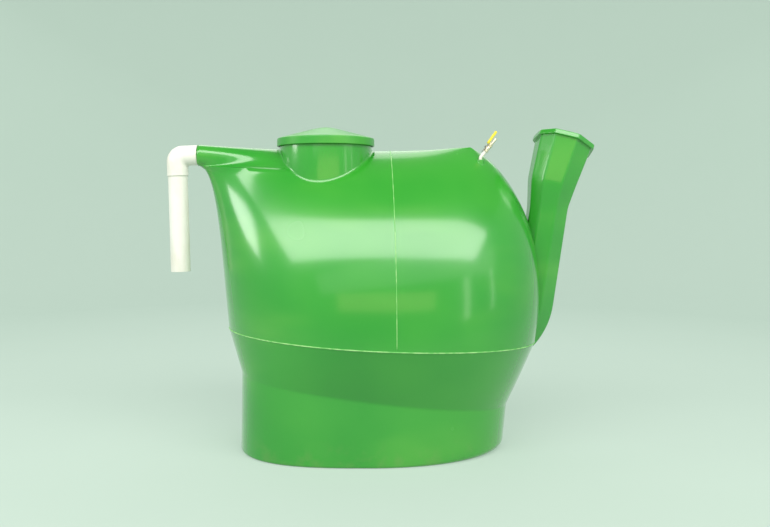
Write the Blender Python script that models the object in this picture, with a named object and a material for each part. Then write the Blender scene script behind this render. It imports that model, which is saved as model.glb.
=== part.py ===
# A household biogas digester: a green moulded plastic tank that rests on its flat foot,
# with a manhole and lid on its back, a feed funnel at one end, a slurry outlet bend and
# drop pipe at the other, and a small gas valve on the dome.
# Metres, +Z up. +X runs towards the feed funnel, -Y is the side with the gas valve.
# The origin lies on the underside of the flat floor, below the middle of the whole object.

import math

import bmesh
import bpy
import numpy as np
from mathutils import Euler, Vector

# General
GAP = 0.0003              # clearance left between pieces that touch
WALL = 0.008              # moulded wall of the tank

# Foot: plan of the flat base, a blunt oval
PLAN_MID_X = -0.090       # where foot and waist are widest
PLAN_HALF_DEPTH = 0.500
FOOT_LEFT = 0.690         # reach of the foot from PLAN_MID_X to the outlet end
FOOT_RIGHT = 0.765        # and to the inlet end
BLUNT_LEFT = 2.9          # superellipse exponents of the two ends
BLUNT_RIGHT = 2.1
FOOT_ROUND = 0.014        # rounding of the foot's lower edge
FOOT_ROUND_INLET = 0.048  # it grows to this at the inlet end

# Waist: the crisp line where the foot meets the tapered band
WAIST_LEFT = 0.686
WAIST_RIGHT = 0.785
WAIST_Z = 0.320           # height at x = 0
WAIST_SLOPE = -0.131      # it falls towards the inlet

# Parting seam: the widest line of the tank
SEAM_LEFT_X = -0.856
SEAM_RIGHT_X = 0.851
SEAM_MID_X = -0.040
SEAM_HALF_DEPTH = 0.620
SEAM_Z = 0.609
SEAM_SLOPE = -0.044

# Dome: ridge, end outlines and cross-section
RIDGE_Z = 1.632           # ridge height at x = 0
RIDGE_SLOPE = 0.0076
RIDGE_BOW = 0.041
RIDGE_SWELL = 0.0075      # the ridge's low hump before the inlet end
RIDGE_SWELL_X = 0.455
RIDGE_SWELL_WIDTH = 0.130
RIDGE_END_X = 0.501
SECTION_EXPONENT = 1.40   # (y / half depth)^1.4 + (rise / full rise)^2 = 1
RIGHT_BULGE = (0.959, 1.051)      # Bezier handles of the inlet end's outline, x and z
RIGHT_SHOULDER = (0.774, 1.512)
LEFT_LEAN = (-0.908, 1.130)       # and of the outlet end's outline
LEFT_THROAT = (-0.9345, 1.553)

# Spout: the round mouth that the outlet bend plugs into
MOUTH_X = -1.036
MOUTH_RADIUS = 0.0605
SPOUT_NOSE = 0.075        # plan handle of the spout's rounded underside
SPOUT_RUN = 0.35          # share of the outlet quarter where the spout stays a tube

# Planes that part the moulded shell into segments
CUT_SPOUT_X = -0.930
CUT_OUTLET_X = -0.600
VERTICAL_SEAM_X = 0.047
CUT_INLET_X = 0.440

# Seam beads
BEAD_HALF_WIDTH = 0.0030
BEAD_PROUD = 0.0035
BEAD_THICK = 0.0034       # a hair thinner than it stands proud

# Manhole
MANHOLE_X = -0.316
NECK_RADIUS = 0.2590
NECK_BORE = 0.2500
NECK_TOP_Z = 1.6900
LID_RADIUS = 0.2735
LID_SKIRT_BORE = 0.2650
LID_SKIRT_FOOT_Z = 1.6560
LID_EDGE_Z = 1.7020
LID_EDGE_ROUND = 0.007
LID_FLARE = 0.004         # the cone steepens a little just inside its edge
LID_APEX_Z = 1.7670
LID_CROWN_RADIUS = 0.060  # the blunt tip of the cone
LID_CROWN_DROP = 0.010
LID_THICK = 0.010

# Outlet bend and drop pipe
OUTLET_DROOP = math.radians(1.8)  # the bend sags a little in the spout
BEND_RADIUS = 0.062
BEND_FROM_MOUTH = 0.119           # mouth to the drop pipe's centre line
LEG_RADIUS = 0.0568
SPIGOT_RADIUS = 0.0455
SPIGOT_BORE = 0.0420
SPIGOT_LENGTH = 0.035
SOCKET_RADIUS = 0.0593
SOCKET_BELOW = 0.113              # from the bend's centre line down to the socket's lip
SOCKET_DEPTH = 0.046
PIPE_RADIUS = 0.0550
PIPE_BORE = 0.0518
PIPE_END_BELOW = 0.652            # from the bend's centre line down to the pipe's end

# Feed inlet: an octagonal duct that leans out, then flares to a flanged rim
DUCT_Y = 0.020
DUCT_TOP = (0.943, 1.310)         # x and z of the centre line where duct and funnel meet
DUCT_LEAN = math.radians(8.8)
DUCT_STRAIGHT_FOOT_Z = 0.780
DUCT_TURN_RADIUS = 0.330
DUCT_TURN_END = math.radians(58)
DUCT_RADIUS = 0.117               # out to the octagon's corners
CORNERS = (-110, -69, -34.5, 9.5, 57, 105, 155, 205)  # their bearings in degrees, from -Y to +X
FLARE_TOP = (0.966, 1.447)        # end of the short flare that starts the funnel
FLARE_TOP_RADIUS = 0.1385
FLARE_LEAN = math.radians(13)
FUNNEL_TOP = (1.033, 1.660)
FUNNEL_TOP_BACK = 0.014           # how far the funnel's top centre lies behind the duct
FUNNEL_TOP_RADIUS = 0.160
RIM_RADIUS = 0.1757
RIM_BORE = 0.145
RIM_THICK = 0.0286
RIM_TILT_RIGHT = math.radians(18.5)
RIM_TILT_BACK = math.radians(15.8)
CORNER_WALL = WALL / math.cos(math.pi / 8)  # the wall measured along an octagon's corner
THROAT_HALF_WIDTH = 0.070         # passage from the duct through the dome's wall
THROAT_LOW_Z = 0.610
THROAT_HIGH_Z = 0.760

# Gas outlet with its small ball valve
GAS_FOOT = (0.546, -0.070)        # x and y on the dome
STUB_HEIGHT = 0.020               # upright stub, from the dome up to its elbow
ELBOW_RADIUS = 0.014
GAS_RISE = math.radians(50.3)     # the rest rises at this angle towards the inlet
BOSS_RADIUS = 0.021
BOSS_HEIGHT = 0.008
BOSS_SINK = 0.050                 # drawn this far down, then cut off at the dome's skin
RISER_RADIUS = 0.0095
VALVE_START = 0.042               # distances along the tube from its elbow
VALVE_MIDDLE = 0.065
VALVE_END = 0.088
VALVE_RADIUS = 0.0115
VALVE_HEX = 0.0130
VALVE_HEX_LENGTH = 0.012
BARB_END = 0.136
BARB_RADIUS = 0.0080
BARB_SHOULDER_RADIUS = 0.0110
BARB_SHOULDER_LENGTH = 0.010
BARB_NECK_LENGTH = 0.006
BARB_RIDGE = 0.001                # how far each ridge stands out, and how long its slope is
BARB_RIDGES = 4
GLAND_RADIUS = 0.0085
GLAND_TOP = 0.0130                # distances out from the tube's centre line
LEVER_TOP = 0.0164
LEVER_HALF_WIDTH = 0.0065
LEVER_BACK = -0.036               # lever's end, from the stem along the tube
SLEEVE_START = 0.020
SLEEVE_LENGTH = 0.084
SLEEVE_HALF_WIDTH = 0.0100
SLEEVE_LOW = -0.0030              # under and above the middle of the lever strip
SLEEVE_HIGH = 0.0065
SLEEVE_BEVEL = 0.003
SLEEVE_RAISE = math.radians(4)
NUT_RADIUS = 0.0065
NUT_HEIGHT = 0.0050

# Fineness of the facets
QUARTER_STEPS = 10        # around each quarter of the tank
WALL_LEVELS = 8           # from the seam up to the spout's mouth
MOUTH_LEVELS = 6          # up the mouth's half circle
FOOT_ROUND_LEVELS = 3     # round the foot's lower edge
TURNED_SIDES = 40
PIPE_SIDES = 24
SMALL_SIDES = 16

FRONT = -1.0
BACK = 1.0


def clear_scene():
    for obj in list(bpy.data.objects):
        bpy.data.objects.remove(obj, do_unlink=True)


def finish(name, colour, roughness, metallic=0.0):
    """A plain Principled finish."""
    material = bpy.data.materials.new(name)
    material.use_nodes = True
    shader = material.node_tree.nodes["Principled BSDF"]
    shader.inputs["Base Color"].default_value = (*colour, 1.0)
    shader.inputs["Roughness"].default_value = roughness
    shader.inputs["Metallic"].default_value = metallic
    return material


def make_object(name, bm, material=None, parent=None):
    """Turn a bmesh into a smooth-shaded object in the scene."""
    bmesh.ops.recalc_face_normals(bm, faces=bm.faces)
    mesh = bpy.data.meshes.new(name)
    bm.to_mesh(mesh)
    bm.free()
    mesh.shade_smooth()
    mesh.set_sharp_from_angle(angle=math.radians(35))
    obj = bpy.data.objects.new(name, mesh)
    bpy.context.collection.objects.link(obj)
    if material:
        obj.data.materials.append(material)
    obj.parent = parent
    return obj


def as_guide(obj):
    """Mark an object as a cutter, which is no piece of the digester."""
    obj.hide_render = True
    obj.display_type = 'WIRE'
    return obj


def cut(obj, cutter, operation='DIFFERENCE'):
    modifier = obj.modifiers.new(operation.title(), 'BOOLEAN')
    modifier.operation = operation
    modifier.solver = 'EXACT'
    modifier.object = cutter


def block(name, low, high, material=None, parent=None, bevel=0.0):
    bm = bmesh.new()
    bmesh.ops.create_cube(bm, size=1.0)
    size = Vector(high) - Vector(low)
    middle = (Vector(high) + Vector(low)) / 2
    for vert in bm.verts:
        vert.co = Vector(c * s for c, s in zip(vert.co, size)) + middle
    if bevel:
        bmesh.ops.bevel(bm, geom=bm.edges, offset=bevel, segments=2, profile=0.5, affect='EDGES')
    return make_object(name, bm, material, parent)


def box_guide(name, low, high):
    return as_guide(block(name, low, high))


def bezier(p0, p1, p2, p3, s):
    return (1 - s)**3 * p0 + 3 * (1 - s)**2 * s * p1 + 3 * (1 - s) * s**2 * p2 + s**3 * p3


def seam_z(x):
    return SEAM_Z + SEAM_SLOPE * x


def waist_z(x):
    return WAIST_Z + WAIST_SLOPE * x


def ridge_z(x):
    swell = RIDGE_SWELL * np.exp(-((x - RIDGE_SWELL_X) / RIDGE_SWELL_WIDTH)**2)
    return RIDGE_Z + RIDGE_SLOPE * x + RIDGE_BOW * x * x + swell


MOUTH_Z = float(ridge_z(MOUTH_X)) - MOUTH_RADIUS


def rise_share(x, z):
    """Height of a point between seam (0) and ridge (1)."""
    return (z - seam_z(x)) / (ridge_z(x) - seam_z(x))


def end_outline(foot_x, handle_low, handle_high, top):
    """An end's outline in the tank's centre plane: rise share against x."""
    s = np.linspace(0.0, 1.0, 201)
    x = bezier(foot_x, handle_low[0], handle_high[0], top[0], s)
    z = bezier(seam_z(foot_x), handle_low[1], handle_high[1], top[1], s)
    return rise_share(x, z), x


MOUTH_FOOT = (MOUTH_X, MOUTH_Z - MOUTH_RADIUS)
LEFT_OUTLINE = end_outline(SEAM_LEFT_X, LEFT_LEAN, LEFT_THROAT, MOUTH_FOOT)
RIGHT_OUTLINE = end_outline(SEAM_RIGHT_X, RIGHT_BULGE, RIGHT_SHOULDER,
                            (RIDGE_END_X, ridge_z(RIDGE_END_X)))
MOUTH_SHARE = float(rise_share(*MOUTH_FOOT))
ROUND = 0.5523            # handle length of a Bezier quarter circle


def dome_half_ring(share):
    """One level of the dome on its front side, from the outlet end to the inlet end.

    In plan each level is two Bezier quarters that meet at SEAM_MID_X. The inlet quarter is a
    quarter of an ellipse. The outlet quarter starts square to the centre plane with a round
    nose that narrows with height, and up the mouth's circle it turns into a flare that starts
    along the spout.
    """
    depth = SEAM_HALF_DEPTH * max(1.0 - share**2, 0.0)**(1.0 / SECTION_EXPONENT)
    if share > MOUTH_SHARE:
        left_x = MOUTH_X
        z = seam_z(left_x) + share * (ridge_z(left_x) - seam_z(left_x))
        left_y = math.sqrt(max(MOUTH_RADIUS**2 - (z - MOUTH_Z)**2, 0.0))
        flare = 1.0 if z > MOUTH_Z else left_y / MOUTH_RADIUS
        nose = (1 - flare) * SPOUT_NOSE
    else:
        left_x = float(np.interp(share, *LEFT_OUTLINE))
        left_y = 0.0
        flare = 0.0
        narrow = (share / MOUTH_SHARE)**2
        nose = (1 - narrow) * ROUND * depth + narrow * SPOUT_NOSE
    right_x = float(np.interp(share, *RIGHT_OUTLINE))
    s = np.linspace(0.0, 1.0, QUARTER_STEPS + 1)
    reach = SEAM_MID_X - left_x
    x_left = bezier(left_x, left_x + flare * SPOUT_RUN * reach, SEAM_MID_X - ROUND * reach,
                    SEAM_MID_X, s)
    y_left = bezier(left_y, left_y + nose, depth, depth, s)
    reach = right_x - SEAM_MID_X
    x_right = bezier(SEAM_MID_X, SEAM_MID_X + ROUND * reach, right_x, right_x, s)
    y_right = bezier(depth, depth, ROUND * depth, 0.0, s)
    x = np.concatenate([x_left, x_right[1:]])
    y = np.concatenate([y_left, y_right[1:]])
    z = seam_z(x) + share * (ridge_z(x) - seam_z(x))
    return x, y, z


def dome_shares():
    """Levels of the dome: even steps up to the mouth, then even angles up its circle."""
    lower = MOUTH_SHARE * np.linspace(0.0, 1.0, WALL_LEVELS + 1)
    angle = np.linspace(0.0, math.pi, MOUTH_LEVELS + 1)[1:]
    z = MOUTH_Z - MOUTH_RADIUS * np.cos(angle)
    return np.concatenate([lower, rise_share(MOUTH_X, z)])


def foot_half_ring(left, right, inset=0.0):
    """A blunt oval on its front side, from the outlet end to the inlet end."""
    angle = np.linspace(0.0, math.pi, 2 * QUARTER_STEPS + 1)
    on_left = angle <= math.pi / 2
    exponent = np.where(on_left, 2 / BLUNT_LEFT, 2 / BLUNT_RIGHT)
    reach = np.where(on_left, left, right) - inset
    cosine = np.cos(angle)
    sine = np.maximum(np.sin(angle), 0.0)
    x = PLAN_MID_X - reach * np.sign(cosine) * np.abs(cosine)**exponent
    y = (PLAN_HALF_DEPTH - inset) * sine**exponent
    return x, y


def waist_half_ring():
    x, y = foot_half_ring(WAIST_LEFT, WAIST_RIGHT)
    return x, y, waist_z(x)


def foot_rounding():
    """Radius of the foot's lower edge around the oval: it grows over the inlet half."""
    angle = np.linspace(0.0, math.pi, 2 * QUARTER_STEPS + 1)
    towards_inlet = np.maximum(-np.cos(angle), 0.0)**2
    return FOOT_ROUND + (FOOT_ROUND_INLET - FOOT_ROUND) * towards_inlet


def base_half_ring(turn, inset=0.0):
    """One level of the foot's rounded lower edge: turn 0 lies on the floor, 90 degrees on the wall."""
    rounding = foot_rounding()
    x, y = foot_half_ring(FOOT_LEFT, FOOT_RIGHT, inset + rounding * (1 - math.sin(turn)))
    return x, y, rounding * (1 - math.cos(turn))


def whole_ring(half_ring):
    """Mirror a half ring: front side first, then back along the other side."""
    x, y, z = half_ring
    front = np.column_stack([x, FRONT * y, z])
    back = np.column_stack([x, BACK * y, z])[::-1]
    return np.concatenate([front, back[1:]])


def lower_rings():
    turns = np.linspace(0.0, math.pi / 2, FOOT_ROUND_LEVELS + 1)
    rings = [whole_ring(base_half_ring(turn)) for turn in turns]
    return rings + [whole_ring(waist_half_ring()), whole_ring(dome_half_ring(0.0))]


def dome_rings():
    return [whole_ring(dome_half_ring(share)) for share in dome_shares()]


def skin(rings):
    """A surface through a stack of rings, welded where its two sides meet."""
    bm = bmesh.new()
    grid = [[bm.verts.new(point) for point in ring] for ring in rings]
    for low, high in zip(grid, grid[1:]):
        for i in range(len(low) - 1):
            bm.faces.new((low[i], low[i + 1], high[i + 1], high[i]))
    bmesh.ops.remove_doubles(bm, verts=bm.verts, dist=0.0001)
    bmesh.ops.dissolve_degenerate(bm, edges=bm.edges, dist=0.0001)
    bmesh.ops.triangulate(bm, faces=bm.faces, quad_method='FIXED')
    bm.normal_update()
    return bm


def shell(bm, thickness):
    """Give a skin its wall. Open edges stay in the level or plane that they lie in."""
    inward = {}
    for vert in bm.verts:
        normal = vert.normal.copy()
        if vert.is_boundary:
            if vert.co.x < MOUTH_X + 0.0001:
                normal.x = 0.0
            else:
                normal.z = 0.0
            normal.normalize()
        inward[vert.index] = normal * -thickness
    bm.verts.index_update()
    copies = {}
    for vert in list(bm.verts):
        copies[vert] = bm.verts.new(vert.co + inward[vert.index])
    rim_edges = [edge for edge in bm.edges if edge.is_boundary]
    for face in list(bm.faces):
        bm.faces.new([copies[vert] for vert in reversed(face.verts)])
    for edge in rim_edges:
        a, b = edge.verts
        bm.faces.new((a, b, copies[b], copies[a]))
    return bm


def body_guide(name, offset):
    """The whole tank as one solid, its surface moved out by offset: a cutter for what it carries."""
    bm = skin(lower_rings()[:-1] + dome_rings())
    for vert in bm.verts:
        vert.co += vert.normal * offset
    bmesh.ops.holes_fill(bm, edges=[edge for edge in bm.edges if edge.is_boundary], sides=0)
    return as_guide(make_object(name, bm))


def shell_segment(name, rings, low, high, material):
    """The part of a shell inside a block that is cut back by half the gap on every side."""
    segment = make_object(name, shell(skin(rings), WALL), material)
    half = GAP / 2
    block = box_guide(name + "_block", [c + half for c in low], [c - half for c in high])
    cut(segment, block, 'INTERSECT')
    return segment


def moved(rings, index, dz):
    """Shift one ring of a stack up or down, to leave the gap at a horizontal joint."""
    rings = [ring.copy() for ring in rings]
    rings[index][:, 2] += dz
    return rings


def turned(name, profile, material=None, sides=TURNED_SIDES, parent=None, phase=0.0):
    """A solid of revolution about Z. The profile is a closed loop of (radius, z) points."""
    bm = bmesh.new()
    rings = []
    for radius, z in profile:
        if radius == 0.0:
            rings.append([bm.verts.new((0.0, 0.0, z))])
            continue
        ring = []
        for i in range(sides):
            angle = phase + 2 * math.pi * i / sides
            ring.append(bm.verts.new((radius * math.cos(angle), radius * math.sin(angle), z)))
        rings.append(ring)
    pairs = list(zip(rings, rings[1:] + rings[:1]))
    for ring_a, ring_b in pairs:
        for i in range(sides):
            j = (i + 1) % sides
            if len(ring_a) > 1 and len(ring_b) > 1:
                bm.faces.new((ring_a[i], ring_a[j], ring_b[j], ring_b[i]))
            elif len(ring_a) > 1:
                bm.faces.new((ring_a[i], ring_a[j], ring_b[0]))
            elif len(ring_b) > 1:
                bm.faces.new((ring_b[j], ring_b[i], ring_a[0]))
    return make_object(name, bm, material, parent)


def round_bearings(sides):
    return [360.0 * i / sides for i in range(sides)]


def ring_stack(stations, bearings, radius_key, grow=0.0):
    """Rings of points, each in the plane square to its own station's direction."""
    rings = []
    for station in stations:
        centre = Vector(station["centre"])
        direction = Vector(station["direction"]).normalized()
        front = Vector((0.0, -1.0, 0.0))
        front = (front - direction * front.dot(direction)).normalized()
        side = direction.cross(front)
        radius = station[radius_key] + grow
        ring = []
        for bearing in bearings:
            angle = math.radians(bearing)
            ring.append(centre + radius * (math.cos(angle) * front + math.sin(angle) * side))
        rings.append(ring)
    return rings


def join_rings(bm, pairs):
    for ring_a, ring_b in pairs:
        for i in range(len(ring_a)):
            j = (i + 1) % len(ring_a)
            bm.faces.new((ring_a[i], ring_a[j], ring_b[j], ring_b[i]))


def hollow_run(name, stations, bearings, material=None):
    """A pipe through stations that each have a centre, a direction, a radius and a bore."""
    bm = bmesh.new()
    outside = ring_stack(stations, bearings, "radius")
    inside = ring_stack(stations, bearings, "bore")
    grid = [[bm.verts.new(point) for point in ring] for ring in outside + inside[::-1]]
    join_rings(bm, zip(grid, grid[1:] + grid[:1]))
    return make_object(name, bm, material)


def solid_run(name, stations, bearings, grow=0.0, material=None):
    """The outer volume of a run, closed at both ends. Without a material it is a cutter."""
    bm = bmesh.new()
    grid = [[bm.verts.new(point) for point in ring]
            for ring in ring_stack(stations, bearings, "radius", grow)]
    join_rings(bm, zip(grid, grid[1:]))
    bm.faces.new(grid[0])
    bm.faces.new(reversed(grid[-1]))
    run = make_object(name, bm, material)
    return run if material else as_guide(run)


def build_lower_tank(green):
    """Flat floor, upright foot and tapered band, in four segments each."""
    rings = lower_rings()
    floor_ring = whole_ring(base_half_ring(0.0, WALL + GAP))
    bm = bmesh.new()
    verts = [bm.verts.new(point) for point in floor_ring[:-1]]
    bm.faces.new(verts)
    extruded = bmesh.ops.extrude_face_region(bm, geom=bm.faces[:])
    for item in extruded["geom"]:
        if isinstance(item, bmesh.types.BMVert):
            item.co.z += WALL
    make_object("base_floor", bm, green)

    foot = moved(rings[:-1], -1, -GAP / 2)
    band = moved(rings[-2:], 0, GAP / 2)
    band = moved(band, -1, -GAP / 2)
    blocks = {
        "outlet_end": ((-2.0, -1.0, -0.1), (CUT_OUTLET_X, 1.0, 1.0)),
        "inlet_end": ((CUT_INLET_X, -1.0, -0.1), (2.0, 1.0, 1.0)),
        "front": ((CUT_OUTLET_X, -1.0, -0.1), (CUT_INLET_X, 0.0, 1.0)),
        "back": ((CUT_OUTLET_X, 0.0, -0.1), (CUT_INLET_X, 1.0, 1.0)),
    }
    for place, (low, high) in blocks.items():
        shell_segment("foot_wall_" + place, foot, low, high, green)
        shell_segment("taper_band_" + place, band, low, high, green)


def build_dome(green):
    """The upper moulding, cut at its vertical seam and in line with the manhole and ends."""
    rings = moved(dome_rings(), 0, GAP / 2)
    bore = turned("manhole_bore", [(0.0, 1.2), (NECK_BORE, 1.2), (NECK_BORE, 2.0), (0.0, 2.0)])
    bore.location.x = MANHOLE_X
    as_guide(bore)
    throat = box_guide("throat", (0.70, DUCT_Y - THROAT_HALF_WIDTH, THROAT_LOW_Z),
                       (1.0, DUCT_Y + THROAT_HALF_WIDTH, THROAT_HIGH_Z))
    shell_segment("outlet_spout", rings, (-2.0, -1.0, 0.0), (CUT_SPOUT_X, 1.0, 2.0), green)
    bays = {
        "dome_outlet_end": (CUT_SPOUT_X, CUT_OUTLET_X),
        "dome_manhole_bay": (CUT_OUTLET_X, VERTICAL_SEAM_X),
        "dome_gas_bay": (VERTICAL_SEAM_X, CUT_INLET_X),
        "dome_inlet_end": (CUT_INLET_X, 2.0),
    }
    for bay, (low_x, high_x) in bays.items():
        for side, low_y, high_y in (("front", -1.0, 0.0), ("back", 0.0, 1.0)):
            segment = shell_segment(bay + "_" + side, rings, (low_x, low_y, 0.0),
                                    (high_x, high_y, 2.0), green)
            if bay == "dome_manhole_bay":
                cut(segment, bore)
            if bay == "dome_inlet_end":
                cut(segment, throat)


def build_seam_beads(green, body, duct_guide):
    """The raised lines left by the mould: one round the tank, one over the dome."""
    inner = skin([whole_ring(dome_half_ring(0.0)) + np.array([0.0, 0.0, dz])
                  for dz in (-BEAD_HALF_WIDTH, BEAD_HALF_WIDTH)])
    for vert in inner.verts:
        out = Vector((vert.normal.x, vert.normal.y, 0.0)).normalized()
        vert.co += out * (BEAD_PROUD + GAP)
    bead = make_object("seam_bead", shell(inner, BEAD_THICK), green)
    cut(bead, body)
    cut(bead, duct_guide)

    proud = body_guide("tank_solid_proud", BEAD_PROUD)
    strip = block("vertical_seam_bead",
                  (VERTICAL_SEAM_X - BEAD_HALF_WIDTH, -1.0, SEAM_Z + BEAD_PROUD),
                  (VERTICAL_SEAM_X + BEAD_HALF_WIDTH, 1.0, 2.0), green)
    cut(strip, proud, 'INTERSECT')
    cut(strip, body)


def build_manhole(green, body):
    """Upright neck on the dome, and the shallow conical lid that drops over it."""
    neck = turned("manhole_neck",
                  [(NECK_RADIUS, 1.30), (NECK_RADIUS, NECK_TOP_Z),
                   (NECK_BORE, NECK_TOP_Z), (NECK_BORE, 1.30)], green)
    neck.location.x = MANHOLE_X
    cut(neck, body)
    seat_z = NECK_TOP_Z + GAP
    crown_z = LID_APEX_Z - LID_CROWN_DROP
    lid = turned("manhole_lid",
                 [(0.0, LID_APEX_Z), (LID_CROWN_RADIUS, crown_z),
                  (NECK_RADIUS, LID_EDGE_Z + LID_FLARE), (LID_RADIUS, LID_EDGE_Z - LID_EDGE_ROUND),
                  (LID_RADIUS, seat_z), (NECK_BORE, seat_z),
                  (LID_CROWN_RADIUS, crown_z - LID_THICK), (0.0, LID_APEX_Z - LID_THICK)], green)
    lid.location.x = MANHOLE_X
    skirt = turned("manhole_lid_skirt",
                   [(LID_RADIUS, NECK_TOP_Z), (LID_RADIUS, LID_SKIRT_FOOT_Z),
                    (LID_SKIRT_BORE, LID_SKIRT_FOOT_Z), (LID_SKIRT_BORE, NECK_TOP_Z)], green)
    skirt.location.x = MANHOLE_X


def build_outlet(pvc):
    """Plastic bend plugged into the spout, and the open pipe that drops from it."""
    holder = bpy.data.objects.new("outlet_line", None)
    bpy.context.collection.objects.link(holder)
    holder.location = (MOUTH_X, 0.0, MOUTH_Z)
    holder.rotation_euler = Euler((0.0, -OUTLET_DROOP, 0.0))
    face = MOUTH_RADIUS * math.sin(OUTLET_DROOP) + GAP

    stations = []
    for distance, radius, bore in ((-SPIGOT_LENGTH, SPIGOT_RADIUS, SPIGOT_BORE),
                                   (face, SPIGOT_RADIUS, SPIGOT_BORE),
                                   (face, LEG_RADIUS, SPIGOT_BORE),
                                   (BEND_FROM_MOUTH - BEND_RADIUS, LEG_RADIUS, PIPE_BORE)):
        stations.append({"centre": (-distance, 0.0, 0.0), "direction": (-1.0, 0.0, 0.0),
                         "radius": radius, "bore": bore})
    for k in range(1, 7):
        angle = k * math.pi / 12
        centre = (-(BEND_FROM_MOUTH - BEND_RADIUS) - BEND_RADIUS * math.sin(angle), 0.0,
                  -BEND_RADIUS * (1 - math.cos(angle)))
        radius = LEG_RADIUS + (SOCKET_RADIUS - LEG_RADIUS) * k / 6
        stations.append({"centre": centre, "direction": (-math.cos(angle), 0.0, -math.sin(angle)),
                         "radius": radius, "bore": PIPE_BORE})
    lip = SOCKET_BELOW - SOCKET_DEPTH
    for below, bore in ((lip, PIPE_BORE), (lip, PIPE_RADIUS + GAP), (SOCKET_BELOW, PIPE_RADIUS + GAP)):
        stations.append({"centre": (-BEND_FROM_MOUTH, 0.0, -below), "direction": (0.0, 0.0, -1.0),
                         "radius": SOCKET_RADIUS, "bore": bore})
    bend = hollow_run("outlet_bend", stations, round_bearings(PIPE_SIDES), pvc)
    bend.parent = holder

    pipe = turned("outlet_drop_pipe",
                  [(PIPE_RADIUS, -lip - GAP), (PIPE_BORE, -lip - GAP),
                   (PIPE_BORE, -PIPE_END_BELOW), (PIPE_RADIUS, -PIPE_END_BELOW)],
                  pvc, sides=PIPE_SIDES, parent=holder)
    pipe.location.x = -BEND_FROM_MOUTH


def lean_vector(angle):
    """Upward direction that leans towards +X by an angle from the vertical."""
    return (math.sin(angle), 0.0, math.cos(angle))


def duct_stations():
    """Centre line of the duct from inside the tank up to where the funnel starts."""
    stations = []
    bore = DUCT_RADIUS - CORNER_WALL
    foot_x = DUCT_TOP[0] - math.tan(DUCT_LEAN) * (DUCT_TOP[1] - DUCT_STRAIGHT_FOOT_Z)
    steps = 5
    for k in range(steps, 0, -1):
        angle = DUCT_LEAN + (DUCT_TURN_END - DUCT_LEAN) * k / steps
        x = foot_x - DUCT_TURN_RADIUS * (math.cos(DUCT_LEAN) - math.cos(angle))
        z = DUCT_STRAIGHT_FOOT_Z - DUCT_TURN_RADIUS * (math.sin(angle) - math.sin(DUCT_LEAN))
        stations.append({"centre": (x, DUCT_Y, z), "direction": lean_vector(angle),
                         "radius": DUCT_RADIUS, "bore": bore})
    stations.append({"centre": (foot_x, DUCT_Y, DUCT_STRAIGHT_FOOT_Z),
                     "direction": lean_vector(DUCT_LEAN), "radius": DUCT_RADIUS, "bore": bore})
    stations.append({"centre": (DUCT_TOP[0], DUCT_Y, DUCT_TOP[1]),
                     "direction": (0.0, 0.0, 1.0), "radius": DUCT_RADIUS, "bore": bore})
    return stations


def build_inlet(green, body):
    """Octagonal feed duct on the tank's end, its flared funnel and the flanged rim."""
    stations = duct_stations()
    duct = hollow_run("inlet_duct", stations, CORNERS, green)
    cut(duct, body)
    guide = solid_run("duct_solid", stations, CORNERS, grow=2 * GAP)

    rim_up = Vector((math.tan(RIM_TILT_RIGHT), math.tan(RIM_TILT_BACK), 1.0)).normalized()
    top = Vector((FUNNEL_TOP[0], DUCT_Y + FUNNEL_TOP_BACK, FUNNEL_TOP[1]))
    bottom = dict(stations[-1])
    bottom["centre"] = Vector(bottom["centre"]) + Vector((0.0, 0.0, GAP))
    flare = {"centre": (FLARE_TOP[0], DUCT_Y, FLARE_TOP[1]), "direction": lean_vector(FLARE_LEAN),
             "radius": FLARE_TOP_RADIUS, "bore": FLARE_TOP_RADIUS - CORNER_WALL}
    mouth = {"centre": top, "direction": rim_up, "radius": FUNNEL_TOP_RADIUS,
             "bore": FUNNEL_TOP_RADIUS - CORNER_WALL}
    hollow_run("inlet_funnel", [bottom, flare, mouth], CORNERS, green)

    seat = top + rim_up * GAP
    rim = [{"centre": seat + rim_up * height, "direction": rim_up, "radius": RIM_RADIUS,
            "bore": RIM_BORE} for height in (0.0, RIM_THICK)]
    hollow_run("inlet_rim", rim, CORNERS, green)
    return guide


def dome_height(x, y):
    """Height of the dome's skin over a point of its inlet quarter."""
    share = np.linspace(0.0, 1.0, 2001)
    depth = SEAM_HALF_DEPTH * (1.0 - share**2)**(1.0 / SECTION_EXPONENT)
    across = (x - SEAM_MID_X) / (np.interp(share, *RIGHT_OUTLINE) - SEAM_MID_X)
    width = depth * np.sqrt(np.maximum(1.0 - across**2, 0.0))
    top_share = float(share[width > abs(y)].max())
    return seam_z(x) + top_share * float(ridge_z(x) - seam_z(x))


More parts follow.
